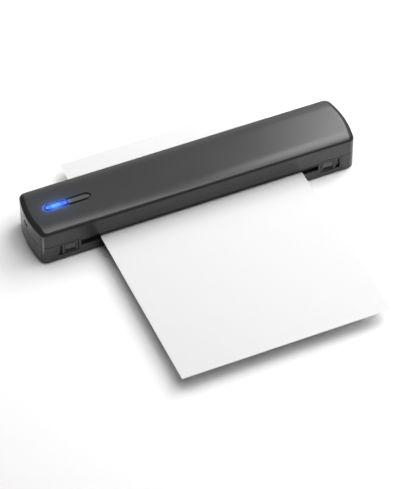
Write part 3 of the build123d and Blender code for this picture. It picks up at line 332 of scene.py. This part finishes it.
case_plastic, case_shader = grained(
    "case_plastic",
    plastic_grey,
    spread=plastic_spread,
    roughness=plastic_roughness,
    grain=spark_scale,
    strength=spark_strength,
)
case_shader.inputs["IOR"].default_value = plastic_ior
rub_and_highlight_edges(case_plastic, case_shader, plastic_rubbed, rubbed_width)
# Painted shade: a band round the paper slot, 15 to 19.9 mm up, is painted near black and made
# matt.
lip_shade_zone = within(case_plastic, own_place(case_plastic), lip_shade_low, lip_shade_high)
patched(case_plastic, case_shader, lip_shade_zone, lip_painted_shade)
lip_shade_gloss = scaled(case_plastic, lip_shade_zone, 0, 1, plastic_specular, lip_shade_specular)
feed(case_plastic, case_shader.inputs["Specular IOR Level"], lip_shade_gloss)
dress(case_plastic, "upper_housing", "lower_housing")

# Feet. Four round pads and a long one in the middle, moulded of soft black rubber with a dull
# skin, and pressed into pockets under the base.
rubber_black, _ = grained(
    "rubber_black", (0.014, 0.014, 0.014), spread=0.2, roughness=0.62, grain=1500, strength=0.3
)
dress(rubber_black, "rubber_feet", edge=0.0005)

# Hinge. Drawn and cut steel pins, pressed into the base's barrels along the rear edge. The
# cover's barrels turn on them.
pin_grey = (0.55, 0.55, 0.57)
metal_spread = 0.07
metal_mottle = 40


def metal(name, colour, roughness, grain, stretch=(1, 1, 1), strength=0.15):
    """Drawn, ground or plated metal; stretch pulls its fine marks out along one axis."""
    finish, shader = new_finish(name)
    place = blotched(finish, shader, colour, metal_spread, roughness, metal_mottle)
    shader.inputs["Metallic"].default_value = 1.0
    drawn = add(finish, "ShaderNodeMapping", Vector=place, Scale=stretch).outputs["Vector"]
    marks = add(finish, "ShaderNodeTexNoise", Vector=drawn, Scale=grain, Detail=3.0)
    bumped(finish, shader, marks.outputs["Fac"], strength)
    return finish, shader


drawn_steel, _ = metal("drawn_steel", pin_grey, roughness=0.3, grain=900, stretch=(0.06, 1, 1))
dress(drawn_steel, "hinge_pins", edge=0.0001)

# Latches. Two thumb slides moulded from the case's plastic, each with a shallow bowl for the
# thumb, a hook for the cover and a small wound steel spring that pushes it inwards.
bowl_light_low = (-0.166, -0.0293, 0)
bowl_light_high = (0.166, -0.02, 0.04)
bowl_painted_light = (0.07, 0.07, 0.07)
latch_rubbed = (0.04, 0.04, 0.041)
spring_grey = (0.62, 0.61, 0.6)
latch_plastic, latch_shader = grained(
    "latch_plastic",
    plastic_grey,
    spread=plastic_spread,
    roughness=plastic_roughness * 1.1,
    grain=spark_scale,
    strength=spark_strength,
)
latch_shader.inputs["IOR"].default_value = plastic_ior
rub_and_highlight_edges(latch_plastic, latch_shader, latch_rubbed, rubbed_width)
# Painted light: the front of the latches, where the thumb bowls are, is painted paler.
bowl_light_zone = within(latch_plastic, own_place(latch_plastic), bowl_light_low, bowl_light_high)
patched(latch_plastic, latch_shader, bowl_light_zone, bowl_painted_light)
dress(latch_plastic, "left_latch", "right_latch", edge=0.0002)
spring_steel, _ = metal("spring_steel", spring_grey, roughness=0.26, grain=1400, strength=0.08)
dress(spring_steel, "left_latch_spring", "right_latch_spring", edge=0.00005)

# Paper. One cut sheet of smooth white A4 that lies loose and runs flat through the slots,
# held only between the platen roller and the print head.
sheet_width = 0.210
sheet_length = 0.297
sheet_columns = 42
sheet_rows = 60
paper_white = (0.69, 0.69, 0.69)
paper_specular = 0.3
sheet_low, sheet_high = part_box("paper_sheet")
sheet_middle = (sheet_low + sheet_high) / 2
paper_mesh = bpy.data.meshes.new("paper")
paper_edit = bmesh.new()
bmesh.ops.create_grid(paper_edit, x_segments=sheet_columns, y_segments=sheet_rows, size=0.5)
for corner in paper_edit.verts:
    corner.co = Vector(
        (
            sheet_middle.x + corner.co.x * sheet_width,
            sheet_middle.y + corner.co.y * sheet_length,
            sheet_middle.z,
        )
    )
paper_edit.to_mesh(paper_mesh)
paper_edit.free()
paper = bpy.data.objects.new("paper", paper_mesh)
bpy.context.scene.collection.objects.link(paper)
paper_body = paper.modifiers.new("body", "SOLIDIFY")
paper_body.thickness = sheet_high.z - sheet_low.z
paper_body.offset = 0
paper_finish, paper_shader = grained(
    "paper_white", paper_white, spread=0.006, roughness=0.8, grain=1100, strength=0.12, mottle=9
)
paper_shader.inputs["Specular IOR Level"].default_value = paper_specular
paper_mesh.materials.append(paper_finish)
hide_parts("paper_sheet")
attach(paper, "paper")

# Status lens. A milky moulded lens over small blue lights, clipped up from below into the
# left half of the pill-shaped recess. It is brightest in its middle.
light_core = Vector((-0.1358, 0.0012, 0.0405))
light_reach = 0.0118
lens_body = (0.003, 0.006, 0.02)
lens_stops = (
    (0.0, (0.1, 0.38, 1.0)),
    (0.4, (0.045, 0.19, 0.78)),
    (0.75, (0.018, 0.07, 0.42)),
    (1.0, (0.007, 0.016, 0.18)),
)
spark_blue = (0.15, 0.35, 1.0)
spark_power = 0.02
spark_radius = 0.0015
spark_height = 0.0416
spark_places = (-0.144, -0.138, -0.132, -0.126)


def ramp(finish, signal, stops):
    """Turns a 0 to 1 signal into colours; each stop is a place and a colour."""
    colours = add(finish, "ShaderNodeValToRGB", Fac=signal)
    row = colours.color_ramp.elements
    while len(row) < len(stops):
        row.new(0.5)
    for element, (place, colour) in zip(row, stops):
        element.position = place
        element.color = (*colour, 1)
    return colours.outputs["Color"]


lens_blue, lens_shader = new_finish("lens_blue")
lens_place = blotched(lens_blue, lens_shader, lens_body, spread=0.1, roughness=0.28, scale=90)
lens_core = nodes["status_lens"].matrix_world.inverted() @ light_core
lens_away = vector_sum(lens_blue, "DISTANCE", "Value", lens_place, lens_core)
lens_glow = ramp(lens_blue, scaled(lens_blue, lens_away, 0, light_reach), lens_stops)
feed(lens_blue, lens_shader.inputs["Emission Color"], lens_glow)
lens_shader.inputs["Emission Strength"].default_value = 1.0
dress(lens_blue, "status_lens", "status_lights", edge=0.0001)
for index, x in enumerate(spark_places):
    spark = bpy.data.lights.new("glow_%d" % index, "POINT")
    spark.energy = spark_power
    spark.color = spark_blue
    spark.shadow_soft_size = spark_radius
    spark_holder = bpy.data.objects.new("glow_%d" % index, spark)
    spark_holder.location = (x, light_core.y, spark_height)
    spark_holder.visible_glossy = False
    spark_holder.visible_camera = False
    bpy.context.scene.collection.objects.link(spark_holder)
    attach(spark_holder, "cover")

# Light skirt. A thin milky lip of the lens moulding that fills the groove round the lit half. It
# glows with painted light that fades from the lens out to the groove's edge. Its rim at the
# groove's outer end is painted pale, a painted reflection of the room.
skirt_centre = (-0.1435, 0.001)
skirt_end = -0.1227
skirt_inner = 0.00245
skirt_outer = 0.00495
skirt_top = 0.03935
skirt_thickness = 0.0006
skirt_round = 0.0001
skirt_steps = 24
skirt_body_blue = (0.01, 0.014, 0.03)
skirt_squash = (1.0, 1.5, 0.0)
skirt_painted_glow_stops = (
    (0.0, (0.05, 0.2, 0.78)),
    (0.45, (0.025, 0.11, 0.5)),
    (0.8, (0.008, 0.03, 0.22)),
    (1.0, (0.003, 0.008, 0.09)),
)
rim_start = 0.0042
rim_low = (-0.15, -0.005, 0.038)
rim_high = (-0.1445, 0.007, 0.041)
rim_painted_reflection = (0.3, 0.4, 0.8, 1)


def skirt_loop(radius):
    """The outline of the skirt at one distance from the bar's middle line."""
    angles = [math.pi * (0.5 + step / skirt_steps) for step in range(skirt_steps + 1)]
    turn = [
        (skirt_centre[0] + radius * math.cos(a), skirt_centre[1] + radius * math.sin(a))
        for a in angles
    ]
    upper = (skirt_end, skirt_centre[1] + radius)
    lower = (skirt_end, skirt_centre[1] - radius)
    return [upper, *turn, lower]


skirt_edit = bmesh.new()
skirt_rows = [
    [skirt_edit.verts.new((x, y, skirt_top)) for x, y in skirt_loop(radius)]
    for radius in (skirt_inner, (skirt_inner + skirt_outer) / 2, skirt_outer)
]
for near, far in zip(skirt_rows, skirt_rows[1:]):
    for index in range(len(near) - 1):
        skirt_edit.faces.new((near[index], near[index + 1], far[index + 1], far[index]))
bmesh.ops.recalc_face_normals(skirt_edit, faces=skirt_edit.faces)
skirt_mesh = bpy.data.meshes.new("light_skirt")
skirt_edit.to_mesh(skirt_mesh)
skirt_edit.free()
skirt = bpy.data.objects.new("light_skirt", skirt_mesh)
bpy.context.scene.collection.objects.link(skirt)
skirt_body = skirt.modifiers.new("body", "SOLIDIFY")
skirt_body.thickness = skirt_thickness
skirt_body.offset = -1 if skirt_mesh.polygons[0].normal.z > 0 else 1
skirt_rim = skirt.modifiers.new("round_rim", "BEVEL")
skirt_rim.width = skirt_round
skirt_rim.segments = 2
skirt_rim.limit_method = "ANGLE"
skirt_milk, skirt_shader = new_finish("skirt_milk")
skirt_place = blotched(
    skirt_milk, skirt_shader, skirt_body_blue, spread=0.1, roughness=0.2, scale=90
)
skirt_off = vector_sum(skirt_milk, "SUBTRACT", "Vector", skirt_place, light_core)
skirt_oval = vector_sum(skirt_milk, "MULTIPLY", "Vector", skirt_off, skirt_squash)
skirt_away = vector_sum(skirt_milk, "LENGTH", "Value", skirt_oval)
skirt_painted_glow = ramp(skirt_milk, scaled(skirt_milk, skirt_away, 0, light_reach), skirt_painted_glow_stops)
# Painted reflection: a pale rim is painted into the glow at the groove's outer end.
rim_turn = vector_sum(skirt_milk, "DISTANCE", "Value", skirt_place, (*skirt_centre, skirt_top))
rim_rise = scaled(skirt_milk, rim_turn, rim_start, skirt_outer)
rim_side = within(skirt_milk, skirt_place, rim_low, rim_high)
rim_reflection_share = number_sum(skirt_milk, "MULTIPLY", rim_rise, rim_side)
rim_glow_and_reflection = blended(skirt_milk, rim_reflection_share, skirt_painted_glow, rim_painted_reflection)
feed(skirt_milk, skirt_shader.inputs["Emission Color"], rim_glow_and_reflection)
skirt_shader.inputs["Emission Strength"].default_value = 1.0
skirt_mesh.materials.append(skirt_milk)
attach(skirt, "cover")

# Power button. A glossy smoke-coloured bar, moulded and lacquered, that stands a little proud
# in the right half of the recess and presses on to a tact switch on the board below it.
smoke = (0.05, 0.049, 0.036)
smoke_rim_highlight = (0.17, 0.165, 0.13)
smoke_highlight_width = 0.0009
bar_smoke, smoke_shader = grained(
    "bar_smoke", smoke, spread=0.12, roughness=0.13, grain=1800, strength=0.03, mottle=60
)
smoke_shader.inputs["Coat Weight"].default_value = 0.6
smoke_shader.inputs["Coat Roughness"].default_value = 0.06
# Rubbed wear and painted highlight: the bar's edges are painted much paler, standing for the light
# rims on its glossy edges.
rub_and_highlight_edges(bar_smoke, smoke_shader, smoke_rim_highlight, smoke_highlight_width)
dress(bar_smoke, "power_button", edge=0.0001)

# Circuit boards. Glass-filled board with a green mask, fine copper tracks that show through
# it as paler lines, and raw straw-coloured edges where it was routed out.
mask_green = (0.012, 0.075, 0.03)
track_green = (0.03, 0.15, 0.06)
board_edge = (0.42, 0.36, 0.2)
track_scale = 260
track_step = 0.16
track_half = 0.05
edge_slope = 0.5
board_green, board_shader = grained(
    "board_green", mask_green, spread=0.12, roughness=0.3, grain=2400, strength=0.05, mottle=60
)
board_cells = add(
    board_green,
    "ShaderNodeTexVoronoi",
    distance="MANHATTAN",
    feature="F2",
    Vector=own_place(board_green),
    Scale=track_scale,
)
board_steps = number_sum(board_green, "PINGPONG", board_cells.outputs["Distance"], track_step)
board_tracks = number_sum(board_green, "LESS_THAN", board_steps, track_half)
patched(board_green, board_shader, board_tracks, track_green)
board_facing = add(board_green, "ShaderNodeTexCoord").outputs["Normal"]
board_axes = add(board_green, "ShaderNodeSeparateXYZ", Vector=board_facing)
board_upright = number_sum(board_green, "ABSOLUTE", board_axes.outputs["Z"])
board_side = number_sum(board_green, "LESS_THAN", board_upright, edge_slope)
patched(board_green, board_shader, board_side, board_edge)
dress(board_green, "main_board", "sensor_board", "button_board", "battery_board", edge=0.00008)

# Chips. Moulded black epoxy on tinned legs that are soldered to the boards, with aluminium
# capacitors among them. The paper sensor and the tact switch are of the same black plastic.
legged_chips = (
    ((-0.082, 0.008), (0.012, 0.012), 0.0008, True),
    ((-0.085, -0.008), (0.008, 0.008), 0.00065, True),
    ((-0.069, -0.012), (0.008, 0.006), 0.00127, False),
    ((-0.137, -0.01), (0.006, 0.005), 0.00095, False),
)
board_face = 0.026
leg_reach = 0.0008
leg_width = 0.00032
leg_foot = 0.00018
leg_riser = leg_foot * 1.6
leg_height = 0.0006
epoxy_black = (0.016, 0.016, 0.017)
capacitor_low = (-0.0745, -0.0065, 0.0262)
capacitor_high = (-0.0515, 0.0005, 0.0335)
capacitor_grey = (0.66, 0.66, 0.67)
tin_grey = (0.66, 0.65, 0.62)


def chip_legs(middle, size, pitch, all_round):
    """The gull-wing legs of one chip as small boxes: a foot and a riser each."""
    boxes = []
    for along, across in ((0, 1), (1, 0)) if all_round else ((0, 1),):
        count = int((size[along] - pitch) / pitch)
        for index in range(count):
            offset = (index - (count - 1) / 2) * pitch
            for side in (-1, 1):
                face = side * size[across] / 2
                for reach, height in ((leg_reach, leg_foot), (leg_riser, leg_height)):
                    tip = face + side * reach
                    start = [0, 0, board_face]
                    end = [0, 0, board_face + height]
                    start[along] = middle[along] + offset - leg_width / 2
                    end[along] = start[along] + leg_width
                    start[across] = middle[across] + min(face, tip)
                    end[across] = middle[across] + max(face, tip)
                    boxes.append((start, end))
    return boxes


def plates(name, finish, body, boxes, edge=0.00004):
    """Small stamped or soldered bits, each a box with broken edges, as one mesh on a body."""
    mesh = bpy.data.meshes.new(name)
    edit = bmesh.new()
    for low, high in boxes:
        made = bmesh.ops.create_cube(edit, size=1)
        for corner in made["verts"]:
            share = [value + 0.5 for value in corner.co]
            corner.co = [a + (b - a) * s for a, b, s in zip(low, high, share)]
    edit.to_mesh(mesh)
    edit.free()
    piece = bpy.data.objects.new(name, mesh)
    bpy.context.scene.collection.objects.link(piece)
    mesh.materials.append(finish)
    broken = piece.modifiers.new("broken_edges", "BEVEL")
    broken.width = edge
    broken.segments = 2
    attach(piece, body)


chip_black, chip_shader = grained(
    "chip_black", epoxy_black, spread=0.15, roughness=0.42, grain=2800, strength=0.2, mottle=150
)
capacitors = within(chip_black, own_place(chip_black), capacitor_low, capacitor_high)
patched(chip_black, chip_shader, capacitors, capacitor_grey, metallic=(0, 1))
dress(chip_black, "board_chips", "paper_sensor", "power_switch", edge=0.00012)
tinned, _ = metal("tinned", tin_grey, roughness=0.24, grain=1600, strength=0.1)
all_legs = [box for chip in legged_chips for box in chip_legs(*chip)]
plates("chip_legs", tinned, "cover", all_legs)

# Radio can and sockets. A pressed steel can soldered over the radio, and ivory nylon sockets
# and posts, moulded and pushed into the boards.
can_grey = (0.6, 0.6, 0.58)
nylon_ivory = (0.66, 0.63, 0.54)
can_steel, _ = metal(
    "can_steel", can_grey, roughness=0.3, grain=700, stretch=(1, 0.15, 1), strength=0.12
)
dress(can_steel, "radio_module", edge=0.0002)
socket_white, socket_shader = grained(
    "socket_white", nylon_ivory, spread=0.05, roughness=0.4, grain=1500, strength=0.1, mottle=40
)
socket_shader.inputs["Subsurface Weight"].default_value = 0.08
socket_shader.inputs["Subsurface Radius"].default_value = (0.001, 0.0008, 0.0005)
dress(socket_white, "board_connectors", "sensor_posts", edge=0.00012)

# Screws. Small pan-head screws, rolled from steel wire and zinc-plated. They hold the boards,
# the side frames, the motor, the lower guide and the chassis.
zinc_grey = (0.58, 0.59, 0.61)
zinc_plate, _ = metal("zinc_plate", zinc_grey, roughness=0.28, grain=1100, strength=0.12)
dress(
    zinc_plate,
    "board_screws",
    "button_board_screws",
    "chassis_screws",
    "guide_screws",
    "frame_screws",
    "motor_screws",
    edge=0.00008,
)

# Port. A stamped and plated steel shell soldered to the main board, with a black plastic
# tongue inside that carries gold-plated contacts on both faces.
port_middle = Vector((-0.165, 0.002, 0.0276))
tongue_low = port_middle + Vector((0.0008, -0.0033, -0.0004))
tongue_high = port_middle + Vector((0.0064, 0.0033, 0.0004))
tongue_face = 0.00035
tongue_black = (0.01, 0.01, 0.01)
port_shade_grey = (0.05, 0.05, 0.052)
contact_pitch = 0.0005
contact_count = 12
contact_width = 0.00026
contact_start = 0.0013
contact_end = 0.0046
contact_rise = 0.00003
gold = (0.95, 0.66, 0.27)
# Painted shade: the shell's steel is painted near black, standing for the shade inside the port.
port_steel, port_shader = metal("port_steel", port_shade_grey, roughness=0.4, grain=1500, strength=0.1)
tongue = within(port_steel, own_place(port_steel), tongue_low, tongue_high)
patched(port_steel, port_shader, tongue, tongue_black, metallic=(1, 0))
dress(port_steel, "usb_port", edge=0.00005)
contact_boxes = []
for index in range(contact_count):
    y = port_middle.y + (index - (contact_count - 1) / 2) * contact_pitch
    for side in (-1, 1):
        heights = sorted((side * tongue_face, side * (tongue_face + contact_rise)))
        contact_boxes.append(
            (
                (port_middle.x + contact_start, y - contact_width / 2, port_middle.z + heights[0]),
                (port_middle.x + contact_end, y + contact_width / 2, port_middle.z + heights[1]),
            )
        )
contact_gold, _ = metal(
    "contact_gold", gold, roughness=0.22, grain=1400, stretch=(1, 0.2, 1), strength=0.06
)
plates("port_contacts", contact_gold, "cover", contact_boxes, edge=0.00001)

# Paper guides. The ribbed lower guide and the chassis over it: two long mouldings of black
# glass-filled plastic, matt and slightly fibrous, screwed into the base and the cover.
guide_black = (0.02, 0.02, 0.021)
guide_rubbed = (0.045, 0.045, 0.046)
guide_rub_width = 0.0004
guide_ior = 1.45
frame_plastic, guide_shader = grained(
    "frame_plastic", guide_black, spread=0.15, roughness=0.5, grain=900, strength=0.25, mottle=30
)
guide_shader.inputs["IOR"].default_value = guide_ior
rub_and_highlight_edges(frame_plastic, guide_shader, guide_rubbed, guide_rub_width)
dress(frame_plastic, "lower_guide", "upper_chassis", edge=0.0002)

# Platen roller. Ground black rubber on a turned steel shaft, in black acetal bushes that sit
# in two stamped, zinc-plated side frames, and kept there by spring clips.
roller_black = (0.02, 0.02, 0.02)
ground_black = (0.026, 0.026, 0.026)
ground_pitch = 0.0009
ground_share = 0.3
turned_grey = (0.6, 0.6, 0.61)
acetal_black = (0.02, 0.02, 0.022)
frame_grey = (0.56, 0.57, 0.58)


def stripes(finish, place, pitch, share):
    """A signal that is 1 on even stripes along the printer's length."""
    x = add(finish, "ShaderNodeSeparateXYZ", Vector=place).outputs["X"]
    steps = number_sum(finish, "PINGPONG", x, pitch / 2)
    return number_sum(finish, "LESS_THAN", steps, pitch * share / 2)


platen_rubber, platen_shader = grained(
    "platen_rubber", roller_black, spread=0.12, roughness=0.6, grain=2600, strength=0.3, mottle=40
)
ground_lines = stripes(platen_rubber, own_place(platen_rubber), ground_pitch, ground_share)
patched(platen_rubber, platen_shader, ground_lines, ground_black)
dress(platen_rubber, "platen_rubber", edge=0.0002)
turned_steel, _ = metal(
    "turned_steel", turned_grey, roughness=0.22, grain=2400, stretch=(1, 0.03, 0.03), strength=0.12
)
dress(turned_steel, "platen_shaft", "motor_shaft", "idler_axle", edge=0.00015)
bush_black, _ = grained(
    "bush_black", acetal_black, spread=0.1, roughness=0.33, grain=1500, strength=0.08, mottle=60
)
dress(bush_black, "platen_bushes", edge=0.00015)
plated_frame, _ = metal(
    "plated_frame", frame_grey, roughness=0.33, grain=500, stretch=(1, 1, 0.1), strength=0.12
)
dress(plated_frame, "side_frame_left", "side_frame_right", "gear_plate", edge=0.00012)
dress(spring_steel, "retaining_clips", edge=0.00006)

# Gears and motor. Moulded natural nylon gears, pressed on their shafts, and a small motor in a
# rolled and nickel-plated steel can, screwed to the gear plate.
nylon_white = (0.7, 0.68, 0.6)
nickel_grey = (0.6, 0.58, 0.54)
gear_nylon, nylon_shader = grained(
    "gear_nylon", nylon_white, spread=0.05, roughness=0.36, grain=1300, strength=0.1, mottle=70
)
nylon_shader.inputs["Subsurface Weight"].default_value = 0.12
nylon_shader.inputs["Subsurface Radius"].default_value = (0.001, 0.0009, 0.0007)
dress(gear_nylon, "platen_gear", "idler_gear", "motor_pinion", edge=0.00004)
nickel_can, _ = metal(
    "nickel_can", nickel_grey, roughness=0.2, grain=900, stretch=(0.05, 1, 1), strength=0.08
)
dress(nickel_can, "feed_motor", edge=0.0002)

# Print head. A white ceramic strip with a dark glazed line of heating dots and gold-coloured
# tracks, glued to a ribbed aluminium heat sink that springs press down on the roller.
ceramic_white = (0.72, 0.7, 0.64)
track_gold = (0.7, 0.47, 0.18)
track_pitch = 0.0006
track_share = 0.5
track_inset = 0.003
track_back = 0.002
heater_black = (0.02, 0.017, 0.015)
heater_y = -0.008
heater_half = 0.0007
heater_inset = 0.002
strip_margin = 0.001
sink_grey = (0.68, 0.69, 0.7)
strip_low, strip_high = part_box("thermal_strip")
strip_under = strip_low.z - strip_margin
strip_over = strip_high.z + strip_margin
ceramic, ceramic_shader = grained(
    "ceramic", ceramic_white, spread=0.03, roughness=0.22, grain=2600, strength=0.05, mottle=40
)
ceramic_place = own_place(ceramic)
track_field = within(
    ceramic,
    ceramic_place,
    (strip_low.x + track_inset, heater_y + heater_half, strip_under),
    (strip_high.x - track_inset, strip_high.y - track_back, strip_over),
)
track_lines = stripes(ceramic, ceramic_place, track_pitch, track_share)
head_tracks = number_sum(ceramic, "MULTIPLY", track_field, track_lines)
patched(ceramic, ceramic_shader, head_tracks, track_gold, metallic=(0, 1))
heater_line = within(
    ceramic,
    ceramic_place,
    (strip_low.x + heater_inset, heater_y - heater_half, strip_under),
    (strip_high.x - heater_inset, heater_y + heater_half, strip_over),
)
patched(ceramic, ceramic_shader, heater_line, heater_black)
dress(ceramic, "thermal_strip", edge=0.0001)
sink_metal, _ = metal(
    "sink_metal", sink_grey, roughness=0.32, grain=700, stretch=(0.02, 1, 1), strength=0.2
)
dress(sink_metal, "heat_sink", edge=0.00015)
dress(spring_steel, "head_springs", edge=0.00005)
dress(turned_steel, "head_pivot_pins", edge=0.0001)

# Flat cable. Two layers of amber film pressed over copper tracks. It runs from the print head
# over the chassis edge, up to its socket on the main board.
amber = (0.38, 0.16, 0.03)
copper_amber = (0.55, 0.27, 0.09)
wire_pitch = 0.001
wire_share = 0.55
film_amber, film_shader = grained(
    "film_amber", amber, spread=0.08, roughness=0.26, grain=1200, strength=0.05, mottle=50
)
film_shader.inputs["Coat Weight"].default_value = 0.5
film_wires = stripes(film_amber, own_place(film_amber), wire_pitch, wire_share)
patched(film_amber, film_shader, film_wires, copper_amber)
dress(film_amber, "head_ribbon", edge=0.00004)

# Battery. Two flat cells in crinkled silver-grey pouches that lie on charcoal foam, wired by
# soldered leads in silicone sleeves, the front one black and the rear one red.
pouch_grey = (0.52, 0.53, 0.55)
pouch_metallic = 0.85
foam_charcoal = (0.035, 0.035, 0.037)
sleeve_red = (0.4, 0.012, 0.01)
sleeve_black = (0.012, 0.012, 0.012)
lead_margin = Vector((0.001, 0.001, 0.001))
pouch, pouch_shader = grained(
    "pouch", pouch_grey, spread=0.06, roughness=0.34, grain=380, strength=0.5, mottle=30
)
pouch_shader.inputs["Metallic"].default_value = pouch_metallic
dress(pouch, "battery_cells", edge=0.0003)
foam_grey, _ = grained(
    "foam_grey", foam_charcoal, spread=0.3, roughness=0.95, grain=1900, strength=0.9, mottle=200
)
dress(foam_grey, "battery_pads", edge=0.0001)
lead_low, lead_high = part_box("battery_leads")
front_low = lead_low - lead_margin
front_high = lead_high + lead_margin
front_high.y = (lead_low.y + lead_high.y) / 2
lead_red, lead_shader = grained(
    "lead_red", sleeve_red, spread=0.08, roughness=0.38, grain=1300, strength=0.1, mottle=80
)
front_lead = within(lead_red, own_place(lead_red), front_low, front_high)
patched(lead_red, lead_shader, front_lead, sleeve_black)
dress(lead_red, "battery_leads", edge=0.00005)
